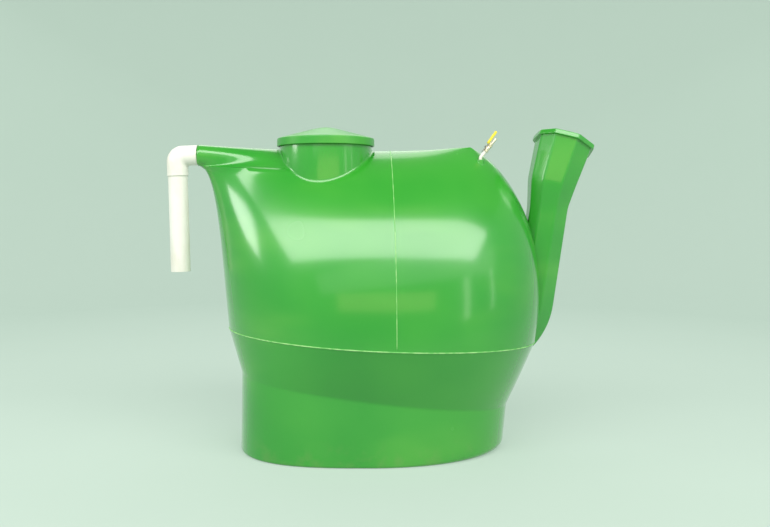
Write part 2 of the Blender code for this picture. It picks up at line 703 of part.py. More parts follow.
def build_gas_valve(green, pvc, brass, steel, yellow, body):
    """Boss, bent riser tube, small ball valve with its lever, and the hose barb."""
    foot = Vector((GAS_FOOT[0], GAS_FOOT[1], dome_height(*GAS_FOOT)))
    boss = turned("gas_boss", [(BOSS_RADIUS, -BOSS_SINK), (BOSS_RADIUS, BOSS_HEIGHT),
                               (RISER_RADIUS + GAP, BOSS_HEIGHT),
                               (RISER_RADIUS + GAP, -BOSS_SINK)],
                  green, sides=SMALL_SIDES)
    boss.location = foot
    cut(boss, body)

    elbow = foot + Vector((0.0, 0.0, STUB_HEIGHT))
    lean = math.pi / 2 - GAS_RISE
    trim = ELBOW_RADIUS * math.tan(lean / 2)
    stations = [{"centre": foot - Vector((0.0, 0.0, BOSS_SINK)), "direction": (0.0, 0.0, 1.0),
                 "radius": RISER_RADIUS}]
    for k in range(4):
        angle = lean * k / 3
        centre = elbow + Vector((ELBOW_RADIUS * (1 - math.cos(angle)), 0.0,
                                 ELBOW_RADIUS * math.sin(angle) - trim))
        stations.append({"centre": centre, "direction": lean_vector(angle),
                         "radius": RISER_RADIUS})
    reach = VALVE_START - GAP
    stations.append({"centre": elbow + Vector(lean_vector(lean)) * reach,
                     "direction": lean_vector(lean), "radius": RISER_RADIUS})
    riser = solid_run("gas_riser", stations, round_bearings(SMALL_SIDES), material=pvc)
    cut(riser, body)

    axis = bpy.data.objects.new("gas_axis", None)
    bpy.context.collection.objects.link(axis)
    axis.location = elbow
    axis.rotation_euler = Euler((0.0, lean, 0.0))
    turned("valve_body", [(0.0, VALVE_START), (VALVE_HEX, VALVE_START),
                          (VALVE_HEX, VALVE_START + VALVE_HEX_LENGTH),
                          (VALVE_RADIUS, VALVE_START + VALVE_HEX_LENGTH),
                          (VALVE_RADIUS, VALVE_END - VALVE_HEX_LENGTH),
                          (VALVE_HEX, VALVE_END - VALVE_HEX_LENGTH), (VALVE_HEX, VALVE_END),
                          (0.0, VALVE_END)],
           brass, sides=6, parent=axis, phase=math.pi / 6)
    shoulder_top = VALVE_END + BARB_SHOULDER_LENGTH
    root = BARB_RADIUS - BARB_RIDGE
    barb = [(0.0, VALVE_END + GAP), (BARB_SHOULDER_RADIUS, VALVE_END + GAP),
            (BARB_SHOULDER_RADIUS, shoulder_top), (root, shoulder_top)]
    start = shoulder_top + BARB_NECK_LENGTH
    pitch = (BARB_END - start) / BARB_RIDGES
    for k in range(BARB_RIDGES):
        barb.append((root, start + k * pitch))
        barb.append((BARB_RADIUS, start + k * pitch + BARB_RIDGE))
    barb += [(root, BARB_END), (0.0, BARB_END)]
    turned("hose_barb", barb, brass, sides=SMALL_SIDES, parent=axis)

    stem = bpy.data.objects.new("lever_axis", None)
    bpy.context.collection.objects.link(stem)
    stem.parent = axis
    stem.location = (0.0, 0.0, VALVE_MIDDLE)
    stem.rotation_euler = Euler((0.0, -math.pi / 2, 0.0))
    flat = VALVE_RADIUS * math.cos(math.pi / 6) + GAP
    turned("valve_gland", [(0.0, flat), (GLAND_RADIUS, flat), (GLAND_RADIUS, GLAND_TOP),
                           (0.0, GLAND_TOP)],
           brass, sides=6, parent=stem)
    lever_foot = GLAND_TOP + GAP
    block("valve_lever", (LEVER_BACK, -LEVER_HALF_WIDTH, lever_foot),
          (SLEEVE_START - GAP, LEVER_HALF_WIDTH, LEVER_TOP), steel, stem)
    sleeve = block("lever_sleeve", (0.0, -SLEEVE_HALF_WIDTH, SLEEVE_LOW),
                   (SLEEVE_LENGTH, SLEEVE_HALF_WIDTH, SLEEVE_HIGH), yellow, stem,
                   bevel=SLEEVE_BEVEL)
    sleeve.location = (SLEEVE_START, 0.0, (lever_foot + LEVER_TOP) / 2)
    sleeve.rotation_euler = Euler((0.0, -SLEEVE_RAISE, 0.0))
    turned("lever_nut", [(0.0, LEVER_TOP + GAP), (NUT_RADIUS, LEVER_TOP + GAP),
                         (NUT_RADIUS, LEVER_TOP + NUT_HEIGHT), (0.0, LEVER_TOP + NUT_HEIGHT)],
           steel, sides=6, parent=stem)


def build():
    clear_scene()
    green = finish("green_polyethylene", (0.055, 0.40, 0.085), 0.25)
    pvc = finish("white_pvc", (0.90, 0.88, 0.84), 0.35)
    brass = finish("valve_brass", (0.62, 0.50, 0.33), 0.35, 1.0)
    steel = finish("lever_steel", (0.35, 0.34, 0.33), 0.40, 1.0)
    yellow = finish("yellow_vinyl", (0.85, 0.68, 0.05), 0.45)
    body = body_guide("tank_solid", GAP)
    build_lower_tank(green)
    build_dome(green)
    duct_guide = build_inlet(green, body)
    build_seam_beads(green, body, duct_guide)
    build_manhole(green, body)
    build_outlet(pvc)
    build_gas_valve(green, pvc, brass, steel, yellow, body)


build()
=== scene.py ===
# The looks of a household biogas digester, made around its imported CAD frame.
# Metres, +Z up, +X towards the feed funnel, -Y the side with the gas valve.

import math

import bmesh
import bpy
import numpy as np
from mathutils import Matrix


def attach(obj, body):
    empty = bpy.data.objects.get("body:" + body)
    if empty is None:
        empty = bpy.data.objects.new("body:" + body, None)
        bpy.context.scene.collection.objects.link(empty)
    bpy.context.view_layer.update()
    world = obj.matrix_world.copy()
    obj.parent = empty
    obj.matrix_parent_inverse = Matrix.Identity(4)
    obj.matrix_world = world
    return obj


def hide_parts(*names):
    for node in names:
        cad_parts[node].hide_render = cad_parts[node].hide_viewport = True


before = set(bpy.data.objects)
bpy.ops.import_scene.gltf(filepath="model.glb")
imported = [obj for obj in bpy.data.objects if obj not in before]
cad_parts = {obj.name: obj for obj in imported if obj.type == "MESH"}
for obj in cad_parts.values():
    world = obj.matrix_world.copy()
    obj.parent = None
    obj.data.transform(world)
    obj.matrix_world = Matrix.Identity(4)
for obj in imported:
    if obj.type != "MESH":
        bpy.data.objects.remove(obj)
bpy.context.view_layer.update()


# Studio: camera, pale floor that sweeps up around the tank, and soft lamps.
# None of this is part of the digester. The camera stands where the photograph's did.

SENSOR_WIDTH = 36.0               # millimetres
FOCAL_PIXELS = 796.46
CAMERA_AT = (-0.2017, -4.5, 1.327)
OPTICAL_CENTRE = (346.0, 205.0)
IMAGE_SIZE = (770.0, 527.0)

camera_data = bpy.data.cameras.new("photo_camera")
camera_data.sensor_width = SENSOR_WIDTH
camera_data.lens = SENSOR_WIDTH * FOCAL_PIXELS / IMAGE_SIZE[0]
camera_data.shift_x = (IMAGE_SIZE[0] / 2 - OPTICAL_CENTRE[0]) / IMAGE_SIZE[0]
camera_data.shift_y = -(IMAGE_SIZE[1] / 2 - OPTICAL_CENTRE[1]) / IMAGE_SIZE[0]
camera = bpy.data.objects.new("photo_camera", camera_data)
camera.location = CAMERA_AT
camera.rotation_euler = (math.radians(90), 0.0, 0.0)    # level, towards +Y
bpy.context.scene.collection.objects.link(camera)
bpy.context.scene.camera = camera
bpy.context.scene.view_settings.view_transform = "Standard"


class Link:
    """A shader socket. Arithmetic on it adds the Math nodes that work the sum out."""

    def __init__(self, finish, socket):
        self.finish = finish
        self.socket = socket

    def math(self, operation, first, second):
        return self.finish.add("Math", {"operation": operation}, {0: first, 1: second})

    def __add__(self, other):
        return self.math("ADD", self, other)

    def __sub__(self, other):
        return self.math("SUBTRACT", self, other)

    def __mul__(self, other):
        return self.math("MULTIPLY", self, other)

    def __rsub__(self, other):
        return self.math("SUBTRACT", other, self)

    def between(self, low, high):
        """0 below low, 1 above high, and smooth between them."""
        return self.finish.add("MapRange", {"interpolation_type": "SMOOTHSTEP"},
                               {"Value": self, "From Min": low, "From Max": high})


class Finish:
    """A material in the making. add() is the one way a node gets in."""

    def __init__(self, name, **constants):
        self.material = bpy.data.materials.new(name)
        self.material.use_nodes = True
        self.tree = self.material.node_tree
        self.shader = self.tree.nodes["Principled BSDF"]
        for socket, value in constants.items():
            self.shader.inputs[socket.replace("_", " ")].default_value = value
        self.coordinates = self.add("TexCoord", {}, {}, "Object")

    def add(self, kind, settings, sockets, output=0):
        node = self.tree.nodes.new("ShaderNode" + kind)
        for name, value in settings.items():
            setattr(node, name, value)
        for name, value in sockets.items():
            if isinstance(value, Link):
                self.tree.links.new(value.socket, node.inputs[name])
            else:
                node.inputs[name].default_value = value
        return Link(self, node.outputs[output])

    def noise(self, scale, detail=3.0, stretch=(1.0, 1.0, 1.0)):
        """Noise of so many cells a metre, stretched by the three factors."""
        where = self.add("Mapping", {}, {"Vector": self.coordinates, "Scale": stretch})
        return self.add("TexNoise", {}, {"Vector": where, "Scale": scale, "Detail": detail}, "Fac")

    def height(self):
        """The Z of the point that is shaded."""
        return self.add("SeparateXYZ", {}, {"Vector": self.coordinates}, "Z")

    def length(self):
        """The X of the point that is shaded."""
        return self.add("SeparateXYZ", {}, {"Vector": self.coordinates}, "X")

    def mix(self, factor, first, second):
        """A colour between two, each a link or red, green and blue."""
        colours = [c if isinstance(c, Link) else (*c, 1.0) for c in (first, second)]
        return self.add("Mix", {"data_type": "RGBA"}, {0: factor, 6: colours[0], 7: colours[1]}, 2)

    def feed(self, **sockets):
        """Drive the shader's own sockets."""
        for name, value in sockets.items():
            self.tree.links.new(value.socket, self.shader.inputs[name.replace("_", " ")])

    def bump(self, height, depth):
        """Bump by a height from 0 to 1 that stands for so many metres."""
        self.feed(Normal=self.add("Bump", {}, {"Height": height, "Distance": depth}, "Normal"))


def grid_faces(rows, columns, closed_rows=False):
    """The quads of a grid of points, row after row.

    Closed rows join the last row to the first.
    """
    row = np.arange(rows if closed_rows else rows - 1)[:, None]
    column = np.arange(columns - 1)[None, :]
    here = row * columns + column
    above = (row + 1) % rows * columns + column
    return np.stack([here, here + 1, above + 1, above], axis=-1).reshape(-1, 4)


def surface(name, points, faces, finish, sharp=60.0):
    """A mesh object from points and faces, welded at its seams and poles, faces outwards."""
    mesh = bpy.data.meshes.new(name)
    mesh.from_pydata(np.asarray(points).reshape(-1, 3).tolist(), [], [tuple(f) for f in faces])
    bm = bmesh.new()
    bm.from_mesh(mesh)
    bmesh.ops.remove_doubles(bm, verts=bm.verts, dist=2e-6)
    bmesh.ops.dissolve_degenerate(bm, edges=bm.edges, dist=1e-6)
    bmesh.ops.recalc_face_normals(bm, faces=bm.faces)
    bm.to_mesh(mesh)
    bm.free()
    mesh.shade_smooth()
    mesh.set_sharp_from_angle(angle=math.radians(sharp))
    mesh.materials.append(finish.material)
    piece = bpy.data.objects.new(name, mesh)
    bpy.context.scene.collection.objects.link(piece)
    return piece


FLOOR_RADIUS = 6.5
SWEEP_RADIUS = 2.0
BACKDROP_TOP_Z = 7.5

turn = np.linspace(0.0, math.pi / 2, 25)
around = np.linspace(0.0, 2 * math.pi, 97)
sweep_radius = np.concatenate([[0.0], FLOOR_RADIUS + SWEEP_RADIUS * np.sin(turn),
                               [FLOOR_RADIUS + SWEEP_RADIUS]])[:, None]
sweep_z = np.concatenate([[0.0], SWEEP_RADIUS * (1 - np.cos(turn)), [BACKDROP_TOP_Z]])[:, None]
sweep = np.stack([sweep_radius * np.cos(around), sweep_radius * np.sin(around),
                  np.broadcast_to(sweep_z, (len(sweep_z), len(around)))], axis=-1)

# A little glow evens out the backdrop, which is flat in the photograph.
pale_mint = Finish("pale_mint_floor", Roughness=0.9, Emission_Color=(0.60, 0.78, 0.66, 1.0),
                   Emission_Strength=0.5)
mottle = pale_mint.noise(1.5)
pale_mint.feed(Base_Color=pale_mint.mix(mottle, (0.235, 0.275, 0.250), (0.245, 0.285, 0.260)))
backdrop = surface("floor_and_backdrop", sweep, grid_faces(*sweep.shape[:2]), pale_mint)


def soft_lamp(name, place, aim, size, watts, colour):
    """An oblong area lamp at a place, turned to face the aim and hidden from the camera."""
    data = bpy.data.lights.new(name, "AREA")
    data.shape = "RECTANGLE"
    data.size, data.size_y = size
    data.energy = watts
    data.color = colour
    lamp = bpy.data.objects.new(name, data)
    lamp.location = place
    lamp.visible_camera = False
    towards = np.array(aim) - np.array(place)
    level = math.hypot(towards[0], towards[1])
    lamp.rotation_euler = (math.atan2(level, -towards[2]), 0.0,
                           math.atan2(-towards[0], towards[1]))
    bpy.context.scene.collection.objects.link(lamp)


# The sky panel gives the dome's broad highlight, the left panel the streak by the spout, and
# the warm strip the faint yellow stripe below them.
soft_lamp("sky_panel", (0.0, -4.2, 5.9), (-0.1, -0.3, 1.1),
          (17.5, 2.6), 840.0, (1.0, 0.99, 0.96))
soft_lamp("low_sky_panel", (1.6, -5.0, 3.95), (0.1, -0.3, 1.1),
          (13.0, 1.5), 45.0, (1.0, 0.98, 0.90))
soft_lamp("back_panel", (0.3, 4.6, 5.9), (-0.1, 0.2, 1.0),
          (9.0, 4.0), 170.0, (1.0, 1.0, 0.97))
soft_lamp("left_panel", (-6.3, -1.06, 3.64), (-0.9, -0.3, 1.2),
          (1.5, 1.7), 60.0, (1.0, 1.0, 0.96))
soft_lamp("warm_strip", (0.4, -5.4, 2.25), (0.0, 0.0, 1.0),
          (5.2, 1.0), 20.0, (1.0, 0.86, 0.36))
soft_lamp("slim_lamp", (4.2, -3.9, 1.9), (0.1, -0.3, 1.1),
          (0.36, 2.0), 6.0, (1.0, 0.97, 0.85))
soft_lamp("edge_lamp", (5.4, -2.6, 1.9), (0.5, -0.4, 1.0),
          (0.16, 1.8), 3.0, (1.0, 1.0, 0.9))

studio = bpy.data.worlds.new("soft_studio")
studio.use_nodes = True
studio.node_tree.nodes["Background"].inputs["Color"].default_value = (1.0, 1.0, 0.97, 1.0)
studio.node_tree.nodes["Background"].inputs["Strength"].default_value = 0.22
bpy.context.scene.world = studio


# Tank: one rotomoulded polyethylene shell, 8 mm thick.
# A flat floor, an upright foot, a band that widens up to the parting seam, and the dome, which
# is drawn out into the outlet spout. The manhole and the feed throat are cut out of it.

WALL = 0.008

PLAN_MID_X = -0.090
PLAN_HALF_DEPTH = 0.500
FOOT_REACH = (0.690, 0.765)       # from PLAN_MID_X to the outlet end and to the inlet end
WAIST_REACH = (0.686, 0.785)
BLUNT = (2.9, 2.1)                # superellipse exponents of the two ends
FOOT_ROUND = (0.014, 0.048)       # rounding of the lower edge, at the outlet and the inlet end
WAIST_Z, WAIST_SLOPE = 0.320, -0.131
SEAM_LEFT_X, SEAM_MID_X, SEAM_RIGHT_X = -0.856, -0.040, 0.851
SEAM_HALF_DEPTH = 0.620
SEAM_Z, SEAM_SLOPE = 0.609, -0.044
RIDGE_Z, RIDGE_SLOPE, RIDGE_BOW = 1.632, 0.0076, 0.041
RIDGE_SWELL, RIDGE_SWELL_X, RIDGE_SWELL_WIDTH = 0.0075, 0.455, 0.130
RIDGE_END_X = 0.501
SECTION_EXPONENT = 1.40
RIGHT_HANDLES = ((0.959, 1.051), (0.774, 1.512))
LEFT_HANDLES = ((-0.908, 1.130), (-0.9345, 1.553))
MOUTH_X, MOUTH_RADIUS = -1.036, 0.0605
SPOUT_NOSE, SPOUT_RUN = 0.075, 0.35
ROUND = 0.5523                    # handle length of a Bezier quarter circle
BAND_BULGE = 0.006
WAIST_ROUND = 0.010
QUARTER_STEPS, WALL_LEVELS, MOUTH_LEVELS = 60, 46, 18

MANHOLE_X = -0.316
MANHOLE_CUT = 0.2545              # radius of the opening, in the middle of the neck's wall
MANHOLE_ABOVE_Z = 1.2             # the opening is in the dome's top, and not in the floor
THROAT_LOW = (0.70, -0.050, 0.610)          # corners of the box that the feed throat is cut by
THROAT_HIGH = (1.00, 0.090, 0.760)


def bezier(p0, p1, p2, p3, s):
    """The cubic curve with ends p0, p3 and handles p1, p2, at the shares s of its run."""
    return (1 - s)**3 * p0 + 3 * (1 - s)**2 * s * p1 + 3 * (1 - s) * s**2 * p2 + s**3 * p3


def seam_z(x):
    return SEAM_Z + SEAM_SLOPE * x


def ridge_z(x):
    """A straight line, a parabola and one low hump near the inlet end."""
    swell = RIDGE_SWELL * np.exp(-((x - RIDGE_SWELL_X) / RIDGE_SWELL_WIDTH)**2)
    return RIDGE_Z + RIDGE_SLOPE * x + RIDGE_BOW * x * x + swell


def rise_share(x, z):
    """Height of a point as a share of the way from the seam, 0, to the ridge, 1."""
    return (z - seam_z(x)) / (ridge_z(x) - seam_z(x))


def end_outline(foot_x, handles, top):
    """An end's outline in the centre plane, one Bezier curve, as x against rise share."""
    s = np.linspace(0.0, 1.0, 401)
    x = bezier(foot_x, handles[0][0], handles[1][0], top[0], s)
    z = bezier(seam_z(foot_x), handles[0][1], handles[1][1], top[1], s)
    return rise_share(x, z), x


MOUTH_Z = float(ridge_z(MOUTH_X)) - MOUTH_RADIUS
LEFT_OUTLINE = end_outline(SEAM_LEFT_X, LEFT_HANDLES, (MOUTH_X, MOUTH_Z - MOUTH_RADIUS))
RIGHT_OUTLINE = end_outline(SEAM_RIGHT_X, RIGHT_HANDLES, (RIDGE_END_X, ridge_z(RIDGE_END_X)))
MOUTH_SHARE = float(rise_share(MOUTH_X, MOUTH_Z - MOUTH_RADIUS))


def dome_half(shares, quarter):
    """The dome's front half: a row for each rise share, columns from outlet end to inlet end.

    The half depth is D (1 - share^2)^(1/1.4). Each row is two Bezier quarters that meet at
    SEAM_MID_X: a quarter ellipse towards the inlet, and towards the outlet a round nose that
    narrows with height and turns into a flare along the spout over the mouth's circle.
    """
    share = np.asarray(shares)[:, None]
    s = np.linspace(0.0, 1.0, quarter + 1)[None, :]
    depth = SEAM_HALF_DEPTH * np.maximum(1.0 - share**2, 0.0)**(1.0 / SECTION_EXPONENT)
    in_mouth = share > MOUTH_SHARE
    z = seam_z(MOUTH_X) + share * (ridge_z(MOUTH_X) - seam_z(MOUTH_X))
    mouth_y = np.sqrt(np.maximum(MOUTH_RADIUS**2 - (z - MOUTH_Z)**2, 0.0))
    left_x = np.where(in_mouth, MOUTH_X, np.interp(share, *LEFT_OUTLINE))
    left_y = np.where(in_mouth, mouth_y, 0.0)
    flare = np.where(in_mouth, np.where(z > MOUTH_Z, 1.0, mouth_y / MOUTH_RADIUS), 0.0)
    narrow = (share / MOUTH_SHARE)**2
    nose = np.where(in_mouth, (1 - flare) * SPOUT_NOSE,
                    (1 - narrow) * ROUND * depth + narrow * SPOUT_NOSE)
    right_x = np.interp(share, *RIGHT_OUTLINE)
    reach = SEAM_MID_X - left_x
    x_left = bezier(left_x, left_x + flare * SPOUT_RUN * reach, SEAM_MID_X - ROUND * reach,
                    SEAM_MID_X, s)
    y_left = bezier(left_y, left_y + nose, depth, depth, s)
    reach = right_x - SEAM_MID_X
    x_right = bezier(SEAM_MID_X, SEAM_MID_X + ROUND * reach, right_x, right_x, s)
    y_right = bezier(depth, depth, ROUND * depth, 0.0, s)
    x = np.concatenate([x_left, x_right[:, 1:]], axis=1)
    y = np.concatenate([y_left, y_right[:, 1:]], axis=1)
    z = seam_z(x) + share * (ridge_z(x) - seam_z(x))
    return np.stack([x, y, z], axis=-1)


def foot_half(quarter, reaches, inset=0.0):
    """A blunt oval's front half: a superellipse with its own reach and exponent at each end."""
    angle = np.linspace(0.0, math.pi, 2 * quarter + 1)
    outlet = angle <= math.pi / 2
    exponent = np.where(outlet, 2 / BLUNT[0], 2 / BLUNT[1])
    reach = np.where(outlet, reaches[0], reaches[1]) - inset
    x = PLAN_MID_X - reach * np.sign(np.cos(angle)) * np.abs(np.cos(angle))**exponent
    y = (PLAN_HALF_DEPTH - inset) * np.maximum(np.sin(angle), 0.0)**exponent
    return x, y


def softened(corners, reach, steps=5, closed=False):
    """Round the corners of a line of points, or of whole rows of points, along its first axis.

    Each corner gives way to a parabola that starts and ends at the reach from it, with one more
    point just beyond each end, which keeps the straight stretches flat when shaded smooth.
    """
    corners = np.asarray(corners, float)
    count = len(corners)
    reaches = np.broadcast_to(reach, (count,))
    out = []
    for i in range(count):
        if not closed and i in (0, count - 1):
            out.append(corners[i])
            continue
        back = corners[i - 1] - corners[i]
        ahead = corners[(i + 1) % count] - corners[i]
        spans = [min(reaches[i] / max(np.linalg.norm(v, axis=-1).mean(), 1e-9), 0.38)
                 for v in (back, ahead)]
        start = corners[i] + back * spans[0]
        end = corners[i] + ahead * spans[1]
        out.append(start + back * spans[0] * 0.25)
        for t in np.linspace(0.0, 1.0, steps):
            out.append((1 - t)**2 * start + 2 * t * (1 - t) * corners[i] + t * t * end)
        out.append(end + ahead * spans[1] * 0.25)
    return np.array(out)


def both_sides(half):
    """Whole rows from front halves: along the front at -Y, and back along the other side."""
    front = half * (1.0, -1.0, 1.0)
    return np.concatenate([front, half[:, -2::-1]], axis=1)


def tank_rows(quarter, wall_levels, mouth_levels):
    """Rows of the tank's outer skin, from the middle of its floor up to its ridge."""
    angle = np.linspace(0.0, math.pi, 2 * quarter + 1)
    inlet_share = np.maximum(-np.cos(angle), 0.0)**2
    rounding = FOOT_ROUND[0] + (FOOT_ROUND[1] - FOOT_ROUND[0]) * inlet_share
    rows = []
    for turn in np.linspace(0.0, math.pi / 2, 7):
        x, y = foot_half(quarter, FOOT_REACH, rounding * (1 - math.sin(turn)))
        rows.append(np.stack([x, y, rounding * (1 - math.cos(turn))], axis=-1))
    middle = np.array([PLAN_MID_X, 0.0, 0.0])
    floor = [middle + (rows[0] - middle) * share for share in (0.0, 0.35, 0.7, 0.9)]
    x, y = foot_half(quarter, WAIST_REACH)
    waist = np.stack([x, y, WAIST_Z + WAIST_SLOPE * x], axis=-1)
    seam = dome_half([0.0], quarter)[0]
    share = np.linspace(0.0, 1.0, 13)[:, None, None]
    out = (seam - waist) * (1.0, 1.0, 0.0) / np.linalg.norm(seam - waist, axis=-1).max()
    band = waist + (seam - waist) * share + out * BAND_BULGE * np.sin(math.pi * share)
    wall = rows[-1] + (waist - rows[-1]) * np.linspace(0.0, 1.0, 8)[1:-1, None, None]
    waist_edge = softened([wall[-1], waist, band[1]], WAIST_ROUND)[1:-1]
    lower = floor + rows + list(wall) + list(waist_edge) + list(band[1:-1])
    shares = MOUTH_SHARE * np.linspace(0.0, 1.0, wall_levels + 1)
    shares = np.insert(shares, 1, shares[1] * 0.3)
    rise = MOUTH_Z - MOUTH_RADIUS * np.cos(np.linspace(0.0, math.pi, mouth_levels + 1)[1:])
    dome = dome_half(np.concatenate([shares, rise_share(MOUTH_X, rise)]), quarter)
    near_seam = seam + (band[-2] - seam) * 0.3
    return both_sides(np.concatenate([np.array(lower + [near_seam]), dome]))


LEVELS = np.sin(np.linspace(0.0, math.pi / 2, 500))
LEVEL_RINGS = dome_half(LEVELS, 120)
PLAN_STEPS = np.linspace(-0.95, 0.86, 700)
HALF_WIDTHS = np.array([np.interp(PLAN_STEPS, ring[:, 0], ring[:, 1], right=0.0)
                        for ring in LEVEL_RINGS])


def skin_height(x, y):
    """Height of the tank's skin above points of its plan, from the half widths of its levels.

    At a given x each level reaches out to a known y, so the height is that of the level whose
    half width is |y|, between the last level that is wider and the next one.
    """
    x, y = np.broadcast_arrays(np.asarray(x, float), np.asarray(y, float))
    place = np.interp(x, PLAN_STEPS, np.arange(len(PLAN_STEPS)))
    column = np.minimum(place.astype(int), len(PLAN_STEPS) - 2)
    part = place - column
    width = HALF_WIDTHS[:, column] * (1 - part) + HALF_WIDTHS[:, column + 1] * part
    level = np.clip((width > np.abs(y)).sum(axis=0) - 1, 0, len(LEVELS) - 2)
    wide = np.take_along_axis(width, level[None], axis=0)[0]
    slim = np.take_along_axis(width, level[None] + 1, axis=0)[0]
    step = np.clip((wide - np.abs(y)) / np.maximum(wide - slim, 1e-9), 0.0, 1.0)
    share = LEVELS[level] + step * (LEVELS[level + 1] - LEVELS[level])
    return seam_z(x) + share * (ridge_z(x) - seam_z(x))


def cut_round_hole(points, faces, centre_x, radius):
    """Open a round hole, seen from above, in the dome's quads.

    Of each edge that crosses the circle, the nearer end slides onto the circle. Then a quad is
    wholly outside and stays, or it has one corner inside and keeps its outer half, or it goes.
    """
    distance = np.hypot(points[:, 0] - centre_x, points[:, 1]) - radius
    distance[points[:, 2] < MANHOLE_ABOVE_Z] = 1.0
    for start in range(4):
        a, b = faces[:, start], faces[:, (start + 1) % 4]
        crosses = distance[a] * distance[b] < 0
        nearer = np.where(np.abs(distance[a]) < np.abs(distance[b]), a, b)[crosses]
        away = points[nearer, :2] - (centre_x, 0.0)
        away *= radius / np.linalg.norm(away, axis=1)[:, None]
        points[nearer, 0] = centre_x + away[:, 0]
        points[nearer, 1] = away[:, 1]
        points[nearer, 2] = skin_height(points[nearer, 0], points[nearer, 1])
        distance[nearer] = 0.0
    side = np.sign(distance[faces])
    whole = (side >= 0).all(axis=1) & (side > 0).any(axis=1)
    kept = [tuple(face) for face in faces[whole]]
    for corner in range(4):
        half = (side[:, corner] < 0) & (side[:, (corner + 2) % 4] > 0)
        kept += [tuple(face) for face in np.roll(faces[half], -corner, axis=1)[:, 1:]]
    return kept


rows = tank_rows(QUARTER_STEPS, WALL_LEVELS, MOUTH_LEVELS)
points = rows.reshape(-1, 3).copy()
faces = grid_faces(*rows.shape[:2])
centres = points[faces].mean(axis=1)
in_throat = ((centres > THROAT_LOW) & (centres < THROAT_HIGH)).all(axis=1)
faces = cut_round_hole(points, faces[~in_throat], MANHOLE_X, MANHOLE_CUT)

# Glossy, a little clouded, with yellower streaks, the band painted darker as shade, and some dust
# at the foot that is partly a painted brownish ground reflection.
green = Finish("green_polyethylene_gloss", Coat_Weight=1.0, Coat_Roughness=0.13, Coat_IOR=1.52,
               Specular_IOR_Level=0.35)
cloud = green.noise(1.6, 2.0)
tint = green.mix(cloud.between(0.30, 0.72), (0.017, 0.275, 0.019), (0.036, 0.320, 0.025))
streak = green.noise(1.1, 2.0, (1.0, 1.0, 2.5))
tint = green.mix(streak.between(0.50, 0.80) * 0.5, tint, (0.110, 0.410, 0.045))
above_waist = green.height() - (green.length() * WAIST_SLOPE + WAIST_Z)
above_seam = green.height() - (green.length() * SEAM_SLOPE + SEAM_Z)
# Painted shade: the band between the waist and the seam, which faces downwards, is coloured darker.
band_painted_shade = above_waist.between(-0.004, 0.006) * (1.0 - above_seam.between(-0.02, 0.01))
tint = green.mix(band_painted_shade * 0.12, tint, (0.018, 0.225, 0.020))
# Dust at the foot, partly a painted brownish reflection of the ground: the lowest 16 cm turn olive
# brown in patches.
dust_and_reflection_noise = green.noise(14.0, 6.0)
foot_dust_and_painted_reflection = (1.0 - green.height().between(0.0, 0.16)) * dust_and_reflection_noise.between(0.45, 0.75)
tint = green.mix(foot_dust_and_painted_reflection * 0.16, tint, (0.24, 0.25, 0.10))
green.feed(Base_Color=tint, Roughness=cloud * 0.08 + 0.22)
green.bump(green.noise(90.0, 0.0) * 0.03 + green.noise(4.0, 0.0) * 0.97, 0.0009)

tank_moulding = surface("tank_moulding", points, faces, green)
wall = tank_moulding.modifiers.new("wall", "SOLIDIFY")
wall.thickness = WALL
wall.offset = -1.0
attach(tank_moulding, "tank")
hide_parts("base_floor", "outlet_spout", *[
    part + place for part in ("foot_wall_", "taper_band_")
    for place in ("outlet_end", "inlet_end", "front", "back")], *[
    "dome_" + bay + side for bay in ("outlet_end", "manhole_bay", "gas_bay", "inlet_end")
    for side in ("_front", "_back")])


# Parting lines: the raised seams that the mould leaves on the tank.
# One runs round the tank where it is widest, one over the dome. They are of the same
# polyethylene, slim, and a little paler where the edge has been trimmed.

BEAD_RADIUS, VERTICAL_BEAD_RADIUS = 0.0031, 0.0022
DUCT_Y = 0.020
BEAD_STOP_Y = 0.100               # the bead ends inside the feed duct's walls
VERTICAL_SEAM_X = 0.047


def carried_round(path, radius, up, sides=9):
    """A round bead along a path, closed at its ends. Its rings stand square to the path."""
    path = np.asarray(path)
    along = np.gradient(path, axis=0)
    along /= np.linalg.norm(along, axis=1)[:, None]
    up = np.asarray(up) - along * (along @ np.asarray(up))[:, None]
    up /= np.linalg.norm(up, axis=1)[:, None]
    out = np.cross(along, up)
    angle = np.linspace(0.0, 2 * math.pi, sides)[None, :, None]
    size = np.ones(len(path))
    size[[0, -1]] = 0.0
    ring = np.cos(angle) * out[:, None] + np.sin(angle) * up[:, None]
    return path[:, None] + radius * size[:, None, None] * ring


seam_line = both_sides(dome_half([0.0], 90))[0]
seam_line = np.roll(seam_line[:-1], len(seam_line) // 2, axis=0)
in_duct = (seam_line[:, 0] > 0.5) & (np.abs(seam_line[:, 1] - DUCT_Y) < BEAD_STOP_Y)
seam_line = seam_line[~in_duct]
steps_on = np.linalg.norm(np.diff(seam_line, axis=0, append=seam_line[:1]), axis=1)
seam_line = np.roll(seam_line, -int(np.argmax(steps_on)) - 1, axis=0)

pale_green = Finish("green_polyethylene_trimmed", Roughness=0.38)
worn = pale_green.noise(30.0, 3.0).between(0.35, 0.65)
pale_green.feed(Base_Color=pale_green.mix(worn, (0.14, 0.50, 0.11), (0.34, 0.66, 0.24)))

bead = carried_round(seam_line, BEAD_RADIUS, (0.0, 0.0, 1.0))
parting_bead = surface("parting_bead", bead, grid_faces(*bead.shape[:2]), pale_green)
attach(parting_bead, "tank")
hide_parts("seam_bead")

